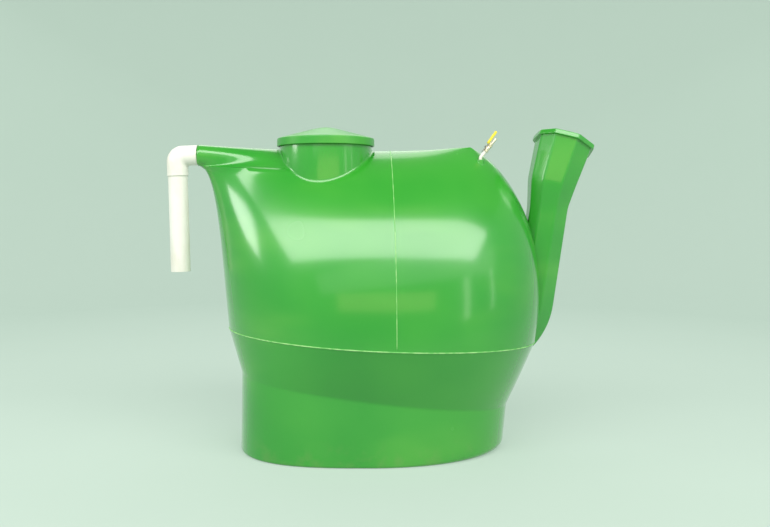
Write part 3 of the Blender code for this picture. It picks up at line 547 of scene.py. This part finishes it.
levels = np.sin(np.linspace(0.004, math.pi / 2, 90))
rings = dome_half(levels, 120)
bead_y = np.array([np.interp(VERTICAL_SEAM_X, ring[:, 0], ring[:, 1]) for ring in rings])
bead_z = seam_z(VERTICAL_SEAM_X) + levels * (ridge_z(VERTICAL_SEAM_X) - seam_z(VERTICAL_SEAM_X))
over = np.stack([np.full_like(bead_y, VERTICAL_SEAM_X), -bead_y, bead_z], axis=-1)
over = np.concatenate([over, over[-2::-1] * (1.0, -1.0, 1.0)])
bead = carried_round(over, VERTICAL_BEAD_RADIUS, (1.0, 0.0, 0.0))
dome_bead = surface("dome_bead", bead, grid_faces(*bead.shape[:2]), pale_green)
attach(dome_bead, "tank")
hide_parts("vertical_seam_bead")


# Manhole neck: an upright collar of the same polyethylene.
# It is welded onto the dome with a soft fillet round its foot, and its lip is rounded.

NECK_RADIUS, NECK_BORE, NECK_TOP_Z = 0.2590, 0.2500, 1.6900
LIP_ROUND = 0.0035
FILLET = 0.013
FILLET_SUNK, FOOT_SUNK = 0.003, 0.006       # how far the weld reaches under the dome's skin
BORE_EASE, BORE_SUNK = 0.001, 0.012

bearing = np.linspace(0.0, 2 * math.pi, 193)


def neck_row(radius, height):
    """A ring round the manhole's axis. The height is one number, or one for each bearing."""
    return np.stack([MANHOLE_X + radius * np.cos(bearing), radius * np.sin(bearing),
                     np.broadcast_to(height, bearing.shape)], axis=-1)


def skin_under(radius):
    """The dome's height along a ring round the manhole's axis."""
    return skin_height(MANHOLE_X + radius * np.cos(bearing), radius * np.sin(bearing))


inside = NECK_BORE + BORE_EASE
neck_rows = [neck_row(inside, skin_under(inside) - BORE_SUNK)]
neck_rows += [neck_row(inside, NECK_TOP_Z - LIP_ROUND)]
middle_radius = (NECK_RADIUS + inside) / 2
half = (NECK_RADIUS - inside) / 2
for turn in np.linspace(0.0, math.pi, 9)[1:-1]:
    neck_rows.append(neck_row(middle_radius - half * math.cos(turn),
                              NECK_TOP_Z - LIP_ROUND + LIP_ROUND * math.sin(turn)))
neck_rows.append(neck_row(NECK_RADIUS, NECK_TOP_Z - LIP_ROUND))
wall_foot = skin_under(NECK_RADIUS)
weld_foot = skin_under(NECK_RADIUS + FILLET)
for t in np.linspace(0.0, 1.0, 8):
    radius = NECK_RADIUS + FILLET * t * t
    height = ((1 - t)**2 * (wall_foot + FILLET) + 2 * t * (1 - t) * wall_foot
              + t * t * weld_foot)
    neck_rows.append(neck_row(radius, height))
neck_rows.append(neck_row(NECK_RADIUS + FILLET * 0.8, weld_foot - FILLET_SUNK))
foot_inside = NECK_BORE + FOOT_SUNK
neck_rows.append(neck_row(foot_inside, skin_under(foot_inside) - FOOT_SUNK))
neck = np.array(neck_rows)
manhole_collar = surface("manhole_collar", neck,
                         grid_faces(*neck.shape[:2], closed_rows=True), green)
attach(manhole_collar, "tank")
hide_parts("manhole_neck")


# Manhole lid: a loose moulded cap, a shallow cone over an upright band.
# It is moulded apart from the tank, from the same polyethylene, and drops over the neck.

LID_RADIUS, LID_BORE = 0.2735, 0.2650
LID_FOOT_Z, LID_EDGE_Z, LID_APEX_Z = 1.6560, 1.7020, 1.7670


def turned(profile, centre_x=0.0, steps=160):
    """A profile of radius and height, carried round an upright axis, a row for each point."""
    profile = np.asarray(profile)
    angle = np.linspace(0.0, 2 * math.pi, steps + 1)[None, :]
    radius, height = profile[:, :1], profile[:, 1:]
    return np.stack([centre_x + radius * np.cos(angle), radius * np.sin(angle),
                     np.broadcast_to(height, (len(profile), steps + 1))], axis=-1)


lid_profile = softened(
    [(0.0, LID_APEX_Z), (0.062, LID_APEX_Z - 0.010), (0.235, LID_EDGE_Z + 0.0085),
     (0.262, LID_EDGE_Z + 0.001), (LID_RADIUS, LID_EDGE_Z - 0.004),
     (LID_RADIUS + 0.001, LID_FOOT_Z), (LID_BORE, LID_FOOT_Z), (LID_BORE, NECK_TOP_Z),
     (0.240, NECK_TOP_Z + 0.001), (0.060, LID_APEX_Z - 0.019), (0.0, LID_APEX_Z - 0.010)],
    [0.0, 0.030, 0.010, 0.006, 0.005, 0.003, 0.003, 0.003, 0.006, 0.02, 0.0], 6)
lid = turned(lid_profile, MANHOLE_X)
lid_green = Finish("green_polyethylene_lid", Coat_Weight=0.25, Coat_Roughness=0.2)
weather = lid_green.noise(6.0, 5.0)
shade = lid_green.mix(weather.between(0.35, 0.70), (0.030, 0.300, 0.028), (0.062, 0.345, 0.036))
lid_green.feed(Base_Color=shade, Roughness=weather * 0.16 + 0.30)
lid_green.bump(lid_green.noise(150.0, 2.0) * 0.2 + lid_green.noise(12.0, 2.0) * 0.8, 0.0008)
lid_cap = surface("lid_cap", lid, grid_faces(*lid.shape[:2]), lid_green)
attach(lid_cap, "lid")
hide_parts("manhole_lid", "manhole_lid_skirt")


# Slurry outlet: an off-white plastic bend and its open drop pipe.
# Moulded soil-pipe fittings in rigid vinyl. The bend's spigot is pushed into the spout, and the
# pipe into the bend's socket. Both hang a little out of level.

OUTLET_DROOP = math.radians(1.8)
BEND_FROM_MOUTH = 0.119
LEG_RADIUS, SPIGOT_RADIUS, SPIGOT_BORE = 0.0568, 0.0455, 0.0420
SOCKET_RADIUS, SOCKET_BELOW, SOCKET_DEPTH = 0.0593, 0.113, 0.046
PIPE_RADIUS, PIPE_BORE, PIPE_END_BELOW = 0.0550, 0.0518, 0.652
HEEL_RADIUS, CROOK_RADIUS = 0.090, 0.007
SPIGOT_PUSHED_IN, LEG_END, SOCKET_START = 0.035, 0.050, 0.066
BORE_TURN_START, BORE_TURN_RADIUS = 0.060, 0.050
SLACK = 0.0006                    # between parts that are pushed together


def outlet_rings(centres, directions, in_plane, across, steps=64):
    """Oval rings in the bend's own frame, of out from the mouth and up, placed in the tank's.

    A ring's in-plane half width lies square to its direction, its other one along Y. The frame
    turns by the droop about the mouth's middle.
    """
    centres, directions = np.asarray(centres, float), np.asarray(directions, float)
    angle = np.linspace(0.0, 2 * math.pi, steps + 1)[None, :]
    square = np.stack([-directions[:, 1], directions[:, 0]], axis=-1)
    shift = np.asarray(in_plane)[:, None] * np.cos(angle)
    out = centres[:, :1] + square[:, :1] * shift
    up = centres[:, 1:] + square[:, 1:] * shift
    y = np.asarray(across)[:, None] * np.sin(angle)
    cosine, sine = math.cos(OUTLET_DROOP), math.sin(OUTLET_DROOP)
    return np.stack([MOUTH_X - out * cosine - up * sine, y,
                     MOUTH_Z - out * sine + up * cosine], axis=-1)


def straight(from_out, from_up, direction, runs_radii):
    """Stations on a straight line: each at a run along the direction, with its radius."""
    return [((from_out + direction[0] * run, from_up + direction[1] * run),
             direction, radius, radius) for run, radius in runs_radii]


face = MOUTH_RADIUS * math.sin(OUTLET_DROOP) + SLACK
leg_profile = softened([(-SPIGOT_PUSHED_IN, SPIGOT_RADIUS - 0.002), (face, SPIGOT_RADIUS),
                        (face, LEG_RADIUS), (LEG_END, LEG_RADIUS)], 0.0016, 4)
stations = straight(0.0, 0.0, (1.0, 0.0), leg_profile)
heel = np.array([BEND_FROM_MOUTH + SOCKET_RADIUS - HEEL_RADIUS, LEG_RADIUS - HEEL_RADIUS])
crook = np.array([BEND_FROM_MOUTH - SOCKET_RADIUS - CROOK_RADIUS, -LEG_RADIUS - CROOK_RADIUS])
for turn in np.linspace(0.0, math.pi / 2, 21)[1:-1]:
    ray = np.array([math.sin(turn), math.cos(turn)])
    outer = heel + HEEL_RADIUS * ray
    inner = crook + CROOK_RADIUS * ray
    span = outer - inner
    length = float(np.linalg.norm(span))
    across = LEG_RADIUS + (SOCKET_RADIUS - LEG_RADIUS) * turn / (math.pi / 2)
    stations.append(((outer + inner) / 2, (span[1] / length, -span[0] / length),
                     length / 2, across))
shoulder = SOCKET_BELOW - SOCKET_DEPTH
socket_profile = softened([(SOCKET_START, SOCKET_RADIUS), (SOCKET_BELOW, SOCKET_RADIUS + SLACK),
                           (SOCKET_BELOW, PIPE_RADIUS + SLACK), (shoulder, PIPE_RADIUS + SLACK),
                           (shoulder, PIPE_BORE), (BORE_TURN_START, PIPE_BORE)], 0.0015, 4)
stations += straight(BEND_FROM_MOUTH, 0.0, (0.0, -1.0), socket_profile)
bore_reach = BEND_FROM_MOUTH - BORE_TURN_START
for turn in np.linspace(math.pi / 2, 0.0, 13):
    stations.append(((BORE_TURN_START + bore_reach * math.sin(turn),
                      bore_reach * (math.cos(turn) - 1)),
                     (math.cos(turn), -math.sin(turn)), BORE_TURN_RADIUS, BORE_TURN_RADIUS))
stations += straight(0.0, 0.0, (1.0, 0.0), [(BORE_TURN_START / 2, SPIGOT_BORE),
                                            (-SPIGOT_PUSHED_IN, SPIGOT_BORE)])

ivory = Finish("white_pvc_weathered", Specular_IOR_Level=0.45)
grime = ivory.noise(9.0, 5.0, (1.0, 1.0, 0.35))
specks = ivory.noise(120.0, 3.0)
shade = ivory.mix(grime.between(0.42, 0.75), (0.82, 0.785, 0.755), (0.72, 0.665, 0.60))
shade = ivory.mix(specks.between(0.66, 0.74) * 0.3, shade, (0.45, 0.40, 0.30))
ivory.feed(Base_Color=shade, Roughness=grime * 0.25 + 0.22)
ivory.bump(ivory.noise(45.0, 2.0), 0.0006)

bend = outlet_rings(*[np.array(list(column)) for column in zip(*stations)])
slurry_bend = surface("slurry_bend", bend,
                      grid_faces(*bend.shape[:2], closed_rows=True), ivory)
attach(slurry_bend, "tank")
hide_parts("outlet_bend")

lip = shoulder + 0.001
pipe_profile = softened([(lip, PIPE_RADIUS), (PIPE_END_BELOW, PIPE_RADIUS),
                         (PIPE_END_BELOW, PIPE_BORE), (lip, PIPE_BORE)], 0.0012, 4, closed=True)
pipe_stations = straight(BEND_FROM_MOUTH, 0.0, (0.0, -1.0), pipe_profile)
pipe = outlet_rings(*[np.array(list(column)) for column in zip(*pipe_stations)])
slurry_drop_pipe = surface("slurry_drop_pipe", pipe,
                           grid_faces(*pipe.shape[:2], closed_rows=True), ivory)
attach(slurry_drop_pipe, "tank")
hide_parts("outlet_drop_pipe")


# Feed inlet: an eight-sided duct that leans out of the tank and flares to a funnel.
# Moulded in one with the tank. Its corners are softly rounded, and a thick flange of the same
# outline closes the funnel's mouth.

DUCT_TOP = (0.943, 1.310)
DUCT_LEAN = math.radians(8.8)
DUCT_FOOT_Z = 0.780
DUCT_TURN_RADIUS, DUCT_TURN_END = 0.330, math.radians(58)
DUCT_RADIUS = 0.117
CORNERS = np.radians((-110, -69, -34.5, 9.5, 57, 105, 155, 205))    # 0 faces -Y
CORNER_ROUND, RIM_CORNER_ROUND = 0.010, 0.014
CORNER_WALL = WALL / math.cos(math.pi / 8)
BEND_ROUNDS = (0.030, 0.022)      # where the duct turns into the flare, and that into the funnel
FLARE_TOP, FLARE_RADIUS, FLARE_LEAN = (0.966, 1.447), 0.1385, math.radians(13)
FUNNEL_TOP, FUNNEL_RADIUS, FUNNEL_BACK = (1.033, 1.660), 0.160, 0.014
RIM_RADIUS, RIM_BORE, RIM_THICK = 0.1757, 0.145, 0.0286
RIM_UP = np.array([math.tan(math.radians(18.5)), math.tan(math.radians(15.8)), 1.0])
RIM_UP /= np.linalg.norm(RIM_UP)
RIM_SEAT = np.array([FUNNEL_TOP[0], DUCT_Y + FUNNEL_BACK, FUNNEL_TOP[1]])


def duct_ring(centre, direction, radius, rounding=CORNER_ROUND):
    """The eight-sided outline with soft corners, in the plane square to a direction."""
    direction = np.asarray(direction, float) / np.linalg.norm(direction)
    front = np.array([0.0, -1.0, 0.0]) + direction * direction[1]
    front /= np.linalg.norm(front)
    side = np.cross(direction, front)
    corners = np.stack([np.cos(CORNERS), np.sin(CORNERS)], axis=-1) * radius
    loop = softened(corners, rounding, 5, closed=True)
    loop = np.concatenate([loop, loop[:1]])
    return np.asarray(centre) + loop[:, :1] * front + loop[:, 1:] * side


def duct_rows(thinner):
    """Rings up the duct and funnel, smaller by the given amount: the outside, or the bore."""
    foot_x = DUCT_TOP[0] - math.tan(DUCT_LEAN) * (DUCT_TOP[1] - DUCT_FOOT_Z)
    rings = []
    for angle in np.linspace(DUCT_TURN_END, DUCT_LEAN, 15):
        centre = (foot_x - DUCT_TURN_RADIUS * (math.cos(DUCT_LEAN) - math.cos(angle)), DUCT_Y,
                  DUCT_FOOT_Z - DUCT_TURN_RADIUS * (math.sin(angle) - math.sin(DUCT_LEAN)))
        way = (math.sin(angle), 0.0, math.cos(angle))
        rings.append(duct_ring(centre, way, DUCT_RADIUS - thinner))
    keys = [rings[-1]]
    keys.append(duct_ring((DUCT_TOP[0], DUCT_Y, DUCT_TOP[1]), (0, 0, 1), DUCT_RADIUS - thinner))
    keys.append(duct_ring((FLARE_TOP[0], DUCT_Y, FLARE_TOP[1]),
                          (math.sin(FLARE_LEAN), 0, math.cos(FLARE_LEAN)), FLARE_RADIUS - thinner))
    keys.append(duct_ring(RIM_SEAT, RIM_UP, FUNNEL_RADIUS - thinner))
    return np.array(rings[:-1] + list(softened(keys, [0, *BEND_ROUNDS, 0], 6)))


duct = np.concatenate([duct_rows(0.0), duct_rows(CORNER_WALL)[::-1]])
feed_duct = surface("feed_duct", duct, grid_faces(*duct.shape[:2], closed_rows=True), green)

# The duct is trimmed against a closed, coarser copy of the tank, half a wall inside its skin.
solid_rows = tank_rows(24, 20, 8)
tank_solid = surface("tank_solid", solid_rows, grid_faces(*solid_rows.shape[:2]), green)
bm = bmesh.new()
bm.from_mesh(tank_solid.data)
bmesh.ops.holes_fill(bm, edges=[edge for edge in bm.edges if edge.is_boundary], sides=0)
bm.to_mesh(tank_solid.data)
bm.free()
count = len(tank_solid.data.vertices)
skin_points, skin_normals = np.empty(count * 3), np.empty(count * 3)
tank_solid.data.vertices.foreach_get("co", skin_points)
tank_solid.data.vertices.foreach_get("normal", skin_normals)
tank_solid.data.vertices.foreach_set("co", skin_points - skin_normals * WALL * 0.5)
fit = feed_duct.modifiers.new("fit_to_tank", "BOOLEAN")
fit.operation = "DIFFERENCE"
fit.solver = "EXACT"
fit.object = tank_solid
bpy.context.view_layer.update()
trimmed_duct = feed_duct.evaluated_get(bpy.context.evaluated_depsgraph_get())
fitted = bpy.data.meshes.new_from_object(trimmed_duct)
feed_duct.modifiers.clear()
feed_duct.data = fitted
fitted.set_sharp_from_angle(angle=math.radians(40))
bpy.data.objects.remove(tank_solid)
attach(feed_duct, "tank")
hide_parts("inlet_duct", "inlet_funnel")

rim_keys = [duct_ring(RIM_SEAT + RIM_UP * height, RIM_UP, radius, RIM_CORNER_ROUND)
            for radius, height in ((RIM_BORE, 0.0), (RIM_RADIUS, 0.0),
                                   (RIM_RADIUS, RIM_THICK), (RIM_BORE, RIM_THICK))]
rim = softened(rim_keys, [0.002, 0.004, 0.006, 0.004], 5, closed=True)
funnel_flange = surface("funnel_flange", rim,
                        grid_faces(*rim.shape[:2], closed_rows=True), green)
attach(funnel_flange, "tank")
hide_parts("inlet_rim")


# Gas outlet: a pale riser tube in a small boss, a ball valve and a hose barb.
# The boss is moulded with the dome. The tube is rigid vinyl, bent towards the inlet, and the
# valve is pale plated brass, screwed on with two hexagon ends.

GAS_FOOT = (0.546, -0.070)
STUB_HEIGHT, ELBOW_RADIUS = 0.020, 0.014
GAS_LEAN = math.radians(90 - 50.3)
BOSS_RADIUS, BOSS_HEIGHT = 0.021, 0.008
RISER_RADIUS = 0.0095
CAP = 0.0001                      # the last step of the tube's path, where it closes
VALVE_START, VALVE_MIDDLE, VALVE_END = 0.042, 0.065, 0.088
HEX_RADIUS, HEX_LENGTH, VALVE_RADIUS = 0.0130, 0.012, 0.0115
PART_SHARP = 35                   # degrees: the edges of machined parts stay crisp

foot_z = float(skin_height(*GAS_FOOT))
elbow = np.array([GAS_FOOT[0], GAS_FOOT[1], foot_z + STUB_HEIGHT])
tube_way = np.array([math.sin(GAS_LEAN), 0.0, math.cos(GAS_LEAN)])
stem_way = np.array([-math.cos(GAS_LEAN), 0.0, math.sin(GAS_LEAN)])
TUBE_FRAME = (elbow, -stem_way, np.array([0.0, 1.0, 0.0]), tube_way)
STEM_FRAME = (elbow + tube_way * VALVE_MIDDLE, tube_way, np.array([0.0, 1.0, 0.0]), stem_way)


def placed(points, at):
    """Points of a small piece's own frame, which has an origin and three axes, in the tank's."""
    origin, x_way, y_way, z_way = at
    return origin + points[..., :1] * x_way + points[..., 1:2] * y_way + points[..., 2:] * z_way


angle = np.linspace(0.0, 2 * math.pi, 49)
boss_rows = []
for radius, height in softened([(BOSS_RADIUS + 0.004, -0.004), (BOSS_RADIUS, 0.002),
                                (BOSS_RADIUS - 0.001, BOSS_HEIGHT), (RISER_RADIUS, BOSS_HEIGHT)],
                               0.0025, 5):
    x, y = GAS_FOOT[0] + radius * np.cos(angle), GAS_FOOT[1] + radius * np.sin(angle)
    settle = np.clip((BOSS_HEIGHT - height) / BOSS_HEIGHT, 0.0, 1.0)
    z = height + foot_z + settle * (skin_height(x, y) - foot_z)
    boss_rows.append(np.stack([x, y, z], axis=-1))
under = boss_rows[0] - (0.0, 0.0, 0.002)
core = boss_rows[-1] - (0.0, 0.0, BOSS_HEIGHT)
boss = np.array([core, under] + boss_rows)
gas_boss_weld = surface("gas_boss_weld", boss,
                        grid_faces(*boss.shape[:2], closed_rows=True), green)
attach(gas_boss_weld, "tank")
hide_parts("gas_boss")

trim = ELBOW_RADIUS * math.tan(GAS_LEAN / 2)
tube_line = [np.array([*GAS_FOOT, foot_z - 0.004])]
for turn in np.linspace(0.0, GAS_LEAN, 9):
    tube_line.append(elbow + (ELBOW_RADIUS * (1 - math.cos(turn)), 0.0,
                              ELBOW_RADIUS * math.sin(turn) - trim))
tube_line += [elbow + tube_way * run for run in (0.030, 0.0405, 0.0415)]
tube_line = [tube_line[0] - (0, 0, CAP)] + tube_line + [tube_line[-1] + tube_way * CAP]
tube = carried_round(tube_line, RISER_RADIUS, (0.0, 1.0, 0.0), 33)
riser_tube = surface("riser_tube", tube, grid_faces(*tube.shape[:2]), ivory)
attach(riser_tube, "tank")
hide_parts("gas_riser")


def turned_part(profile, at, hexagon=None, steps=72):
    """A turned profile in a small frame. A hexagon trims each radius to its six flats.

    The radius at an angle is the lesser of the profile's and the hexagon's, which leaves the
    curved chamfers of a real nut.
    """
    profile = np.asarray(profile)
    angle = np.linspace(0.0, 2 * math.pi, steps + 1)[None, :]
    radius = np.broadcast_to(profile[:, :1], (len(profile), steps + 1)).copy()
    if hexagon is not None:
        flat = hexagon * math.cos(math.pi / 6)
        sixth = np.mod(angle, math.pi / 3) - math.pi / 6
        trimmed = np.minimum(radius, flat / np.cos(sixth))
        radius = np.where(profile[:, 2:] > 0.5, trimmed, radius)
    height = np.broadcast_to(profile[:, 1:2], radius.shape)
    return placed(np.stack([radius * np.cos(angle), radius * np.sin(angle), height], axis=-1), at)


plated = Finish("valve_brass_plated", Metallic=0.85)
tarnish = plated.noise(260.0, 4.0)
metal = plated.mix(tarnish.between(0.40, 0.70), (0.86, 0.80, 0.68), (0.60, 0.50, 0.34))
plated.feed(Base_Color=metal, Roughness=tarnish * 0.30 + 0.22)
plated.bump(plated.noise(900.0, 2.0), 0.0002)

# Profiles of the turned parts: radius, height, and 1 where the hexagon trims them.
hex_end = VALVE_START + HEX_LENGTH
hex_again = VALVE_END - HEX_LENGTH
valve_profile = [(0.0, VALVE_START, 0), (0.0100, VALVE_START, 1), (0.0118, VALVE_START + 0.0003, 1),
                 (HEX_RADIUS, VALVE_START + 0.0016, 1), (HEX_RADIUS, hex_end - 0.0014, 1),
                 (0.0116, hex_end, 1), (0.0104, hex_end + 0.0006, 0), (0.0106, hex_end + 0.0020, 0),
                 (VALVE_RADIUS, hex_end + 0.0045, 0), (VALVE_RADIUS + 0.0004, VALVE_MIDDLE, 0),
                 (VALVE_RADIUS, hex_again - 0.0045, 0), (0.0106, hex_again - 0.0020, 0),
                 (0.0104, hex_again - 0.0006, 0), (0.0116, hex_again, 1),
                 (HEX_RADIUS, hex_again + 0.0014, 1), (HEX_RADIUS, VALVE_END - 0.0016, 1),
                 (0.0118, VALVE_END - 0.0003, 1), (0.0100, VALVE_END, 1), (0.0, VALVE_END, 0)]
valve = turned_part(valve_profile, TUBE_FRAME, HEX_RADIUS)
ball_valve = surface("ball_valve", valve, grid_faces(*valve.shape[:2]), plated, PART_SHARP)
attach(ball_valve, "tank")
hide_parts("valve_body")

BARB_START, BARB_END = VALVE_END + 0.0003, 0.136
FIRST_RIDGE, RIDGE_PITCH = 0.104, 0.008
barb_profile = [(0.0, BARB_START, 0), (0.0104, BARB_START, 0), (0.0110, BARB_START + 0.001, 0),
                (0.0110, BARB_START + 0.0085, 0), (0.0100, BARB_START + 0.0097, 0),
                (0.0070, BARB_START + 0.0105, 0), (0.0068, 0.1037, 0)]
for step in range(4):
    ridge_start = FIRST_RIDGE + RIDGE_PITCH * step
    barb_profile += [(0.0080, ridge_start + 0.0006, 0), (0.0078, ridge_start + 0.0016, 0),
                     (0.0068, ridge_start + 0.0076, 0)]
barb_profile += [(0.0062, BARB_END, 0), (0.0048, BARB_END, 0), (0.0046, BARB_END - 0.02, 0),
                 (0.0, BARB_END - 0.02, 0)]
barb = turned_part(barb_profile, TUBE_FRAME, None, 40)
barbed_nozzle = surface("barbed_nozzle", barb, grid_faces(*barb.shape[:2]), plated, PART_SHARP)
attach(barbed_nozzle, "tank")
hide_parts("hose_barb")

GLAND_RADIUS, GLAND_TOP = 0.0085, 0.0130
gland_foot = VALVE_RADIUS * math.cos(math.pi / 6) + 0.0003
gland_profile = [(0.0, gland_foot, 0), (0.0078, gland_foot, 1),
                 (GLAND_RADIUS, gland_foot + 0.0006, 1), (GLAND_RADIUS, 0.0122, 1),
                 (0.0076, GLAND_TOP, 1), (0.0, GLAND_TOP, 0)]
gland = turned_part(gland_profile, STEM_FRAME, GLAND_RADIUS, 48)
stem_gland = surface("stem_gland", gland, grid_faces(*gland.shape[:2]), plated, PART_SHARP)
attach(stem_gland, "tank")
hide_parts("valve_gland")


# Valve handle: a pressed steel strip with a dipped yellow vinyl sleeve.
# The strip sits on the stem's flats under a small nut. The sleeve is dipped soft vinyl, with
# rounded edges and shallow finger flutes.

LEVER_LOW, LEVER_TOP = 0.0133, 0.0164
LEVER_START, LEVER_LENGTH, LEVER_HALF_WIDTH = -0.036, 0.0557, 0.0065
NUT_RADIUS, NUT_FOOT, NUT_TOP, STEM_TOP = 0.0065, 0.0167, 0.0211, 0.0214
SLEEVE_START, SLEEVE_LENGTH, SLEEVE_HALVES = 0.020, 0.084, (0.0105, 0.0074)
SLEEVE_RAISE, SLEEVE_LIFT = math.radians(4), 0.0038


def pad(length, half_widths, steps=24, power=4.0, start=0.0, flute=0.0):
    """A soft bar along its own X, of superellipse sections that close to nothing at its ends.

    The section is |y/a|^p + |z/b|^p = 1, scaled along the bar by (1 - |u|^8)^(1/4) for u from
    -1 to 1. Flutes narrow it in waves, by up to twice the given share of its half width.
    """
    u = np.sin(np.linspace(-math.pi / 2, math.pi / 2, steps + 1))[:, None]
    angle = np.linspace(0.0, 2 * math.pi, 41)[None, :]
    size = np.maximum(1 - np.abs(u)**8, 0.0)**0.25
    y = half_widths[0] * (size - flute * size * (1 + np.cos(u * math.pi * 6))) \
        * np.sign(np.cos(angle)) * np.abs(np.cos(angle))**(2 / power)
    z = half_widths[1] * size * np.sign(np.sin(angle)) * np.abs(np.sin(angle))**(2 / power)
    return np.stack([np.broadcast_to(start + (u + 1) / 2 * length, y.shape), y, z], axis=-1)


steel = Finish("lever_steel_plated", Metallic=1.0)
scratch = steel.noise(700.0, 3.0, (1.0, 1.0, 0.2))
metal = steel.mix(scratch.between(0.4, 0.6), (0.20, 0.19, 0.18), (0.42, 0.40, 0.38))
steel.feed(Base_Color=metal, Roughness=scratch * 0.3 + 0.28)

strip = pad(LEVER_LENGTH, (LEVER_HALF_WIDTH, (LEVER_TOP - LEVER_LOW) / 2), 32, 8.0, LEVER_START)
strip[..., 2] += (LEVER_LOW + LEVER_TOP) / 2
strip = placed(strip, STEM_FRAME)
lever_strip = surface("lever_strip", strip, grid_faces(*strip.shape[:2]), steel)
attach(lever_strip, "valve_handle")
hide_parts("valve_lever")

nut_profile = [(0.0, NUT_FOOT, 0), (0.0058, NUT_FOOT, 1), (NUT_RADIUS, 0.0172, 1),
               (NUT_RADIUS, 0.0204, 1), (0.0057, NUT_TOP, 1), (0.0032, NUT_TOP, 0),
               (0.0031, STEM_TOP, 0), (0.0, STEM_TOP, 0)]
nut = turned_part(nut_profile, STEM_FRAME, NUT_RADIUS, 48)
stem_nut = surface("stem_nut", nut, grid_faces(*nut.shape[:2]), steel, PART_SHARP)
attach(stem_nut, "valve_handle")
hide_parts("lever_nut")

yellow = Finish("yellow_vinyl_dipped", Coat_Weight=0.15)
wear = yellow.noise(90.0, 4.0)
dipped = yellow.mix(wear.between(0.45, 0.75), (0.86, 0.68, 0.035), (0.66, 0.50, 0.05))
yellow.feed(Base_Color=dipped, Roughness=wear * 0.25 + 0.34)
yellow.bump(yellow.noise(500.0, 2.0), 0.0003)

sleeve = pad(SLEEVE_LENGTH, SLEEVE_HALVES, 60, 3.2, 0.0, 0.03)
run, rise = sleeve[..., 0], sleeve[..., 2] + SLEEVE_LIFT
x = SLEEVE_START + run * math.cos(SLEEVE_RAISE) - rise * math.sin(SLEEVE_RAISE)
z = (LEVER_LOW + LEVER_TOP) / 2 + run * math.sin(SLEEVE_RAISE) + rise * math.cos(SLEEVE_RAISE)
sleeve = placed(np.stack([x, sleeve[..., 1], z], axis=-1), STEM_FRAME)
vinyl_sleeve = surface("vinyl_sleeve", sleeve, grid_faces(*sleeve.shape[:2]), yellow)
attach(vinyl_sleeve, "valve_handle")
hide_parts("lever_sleeve")
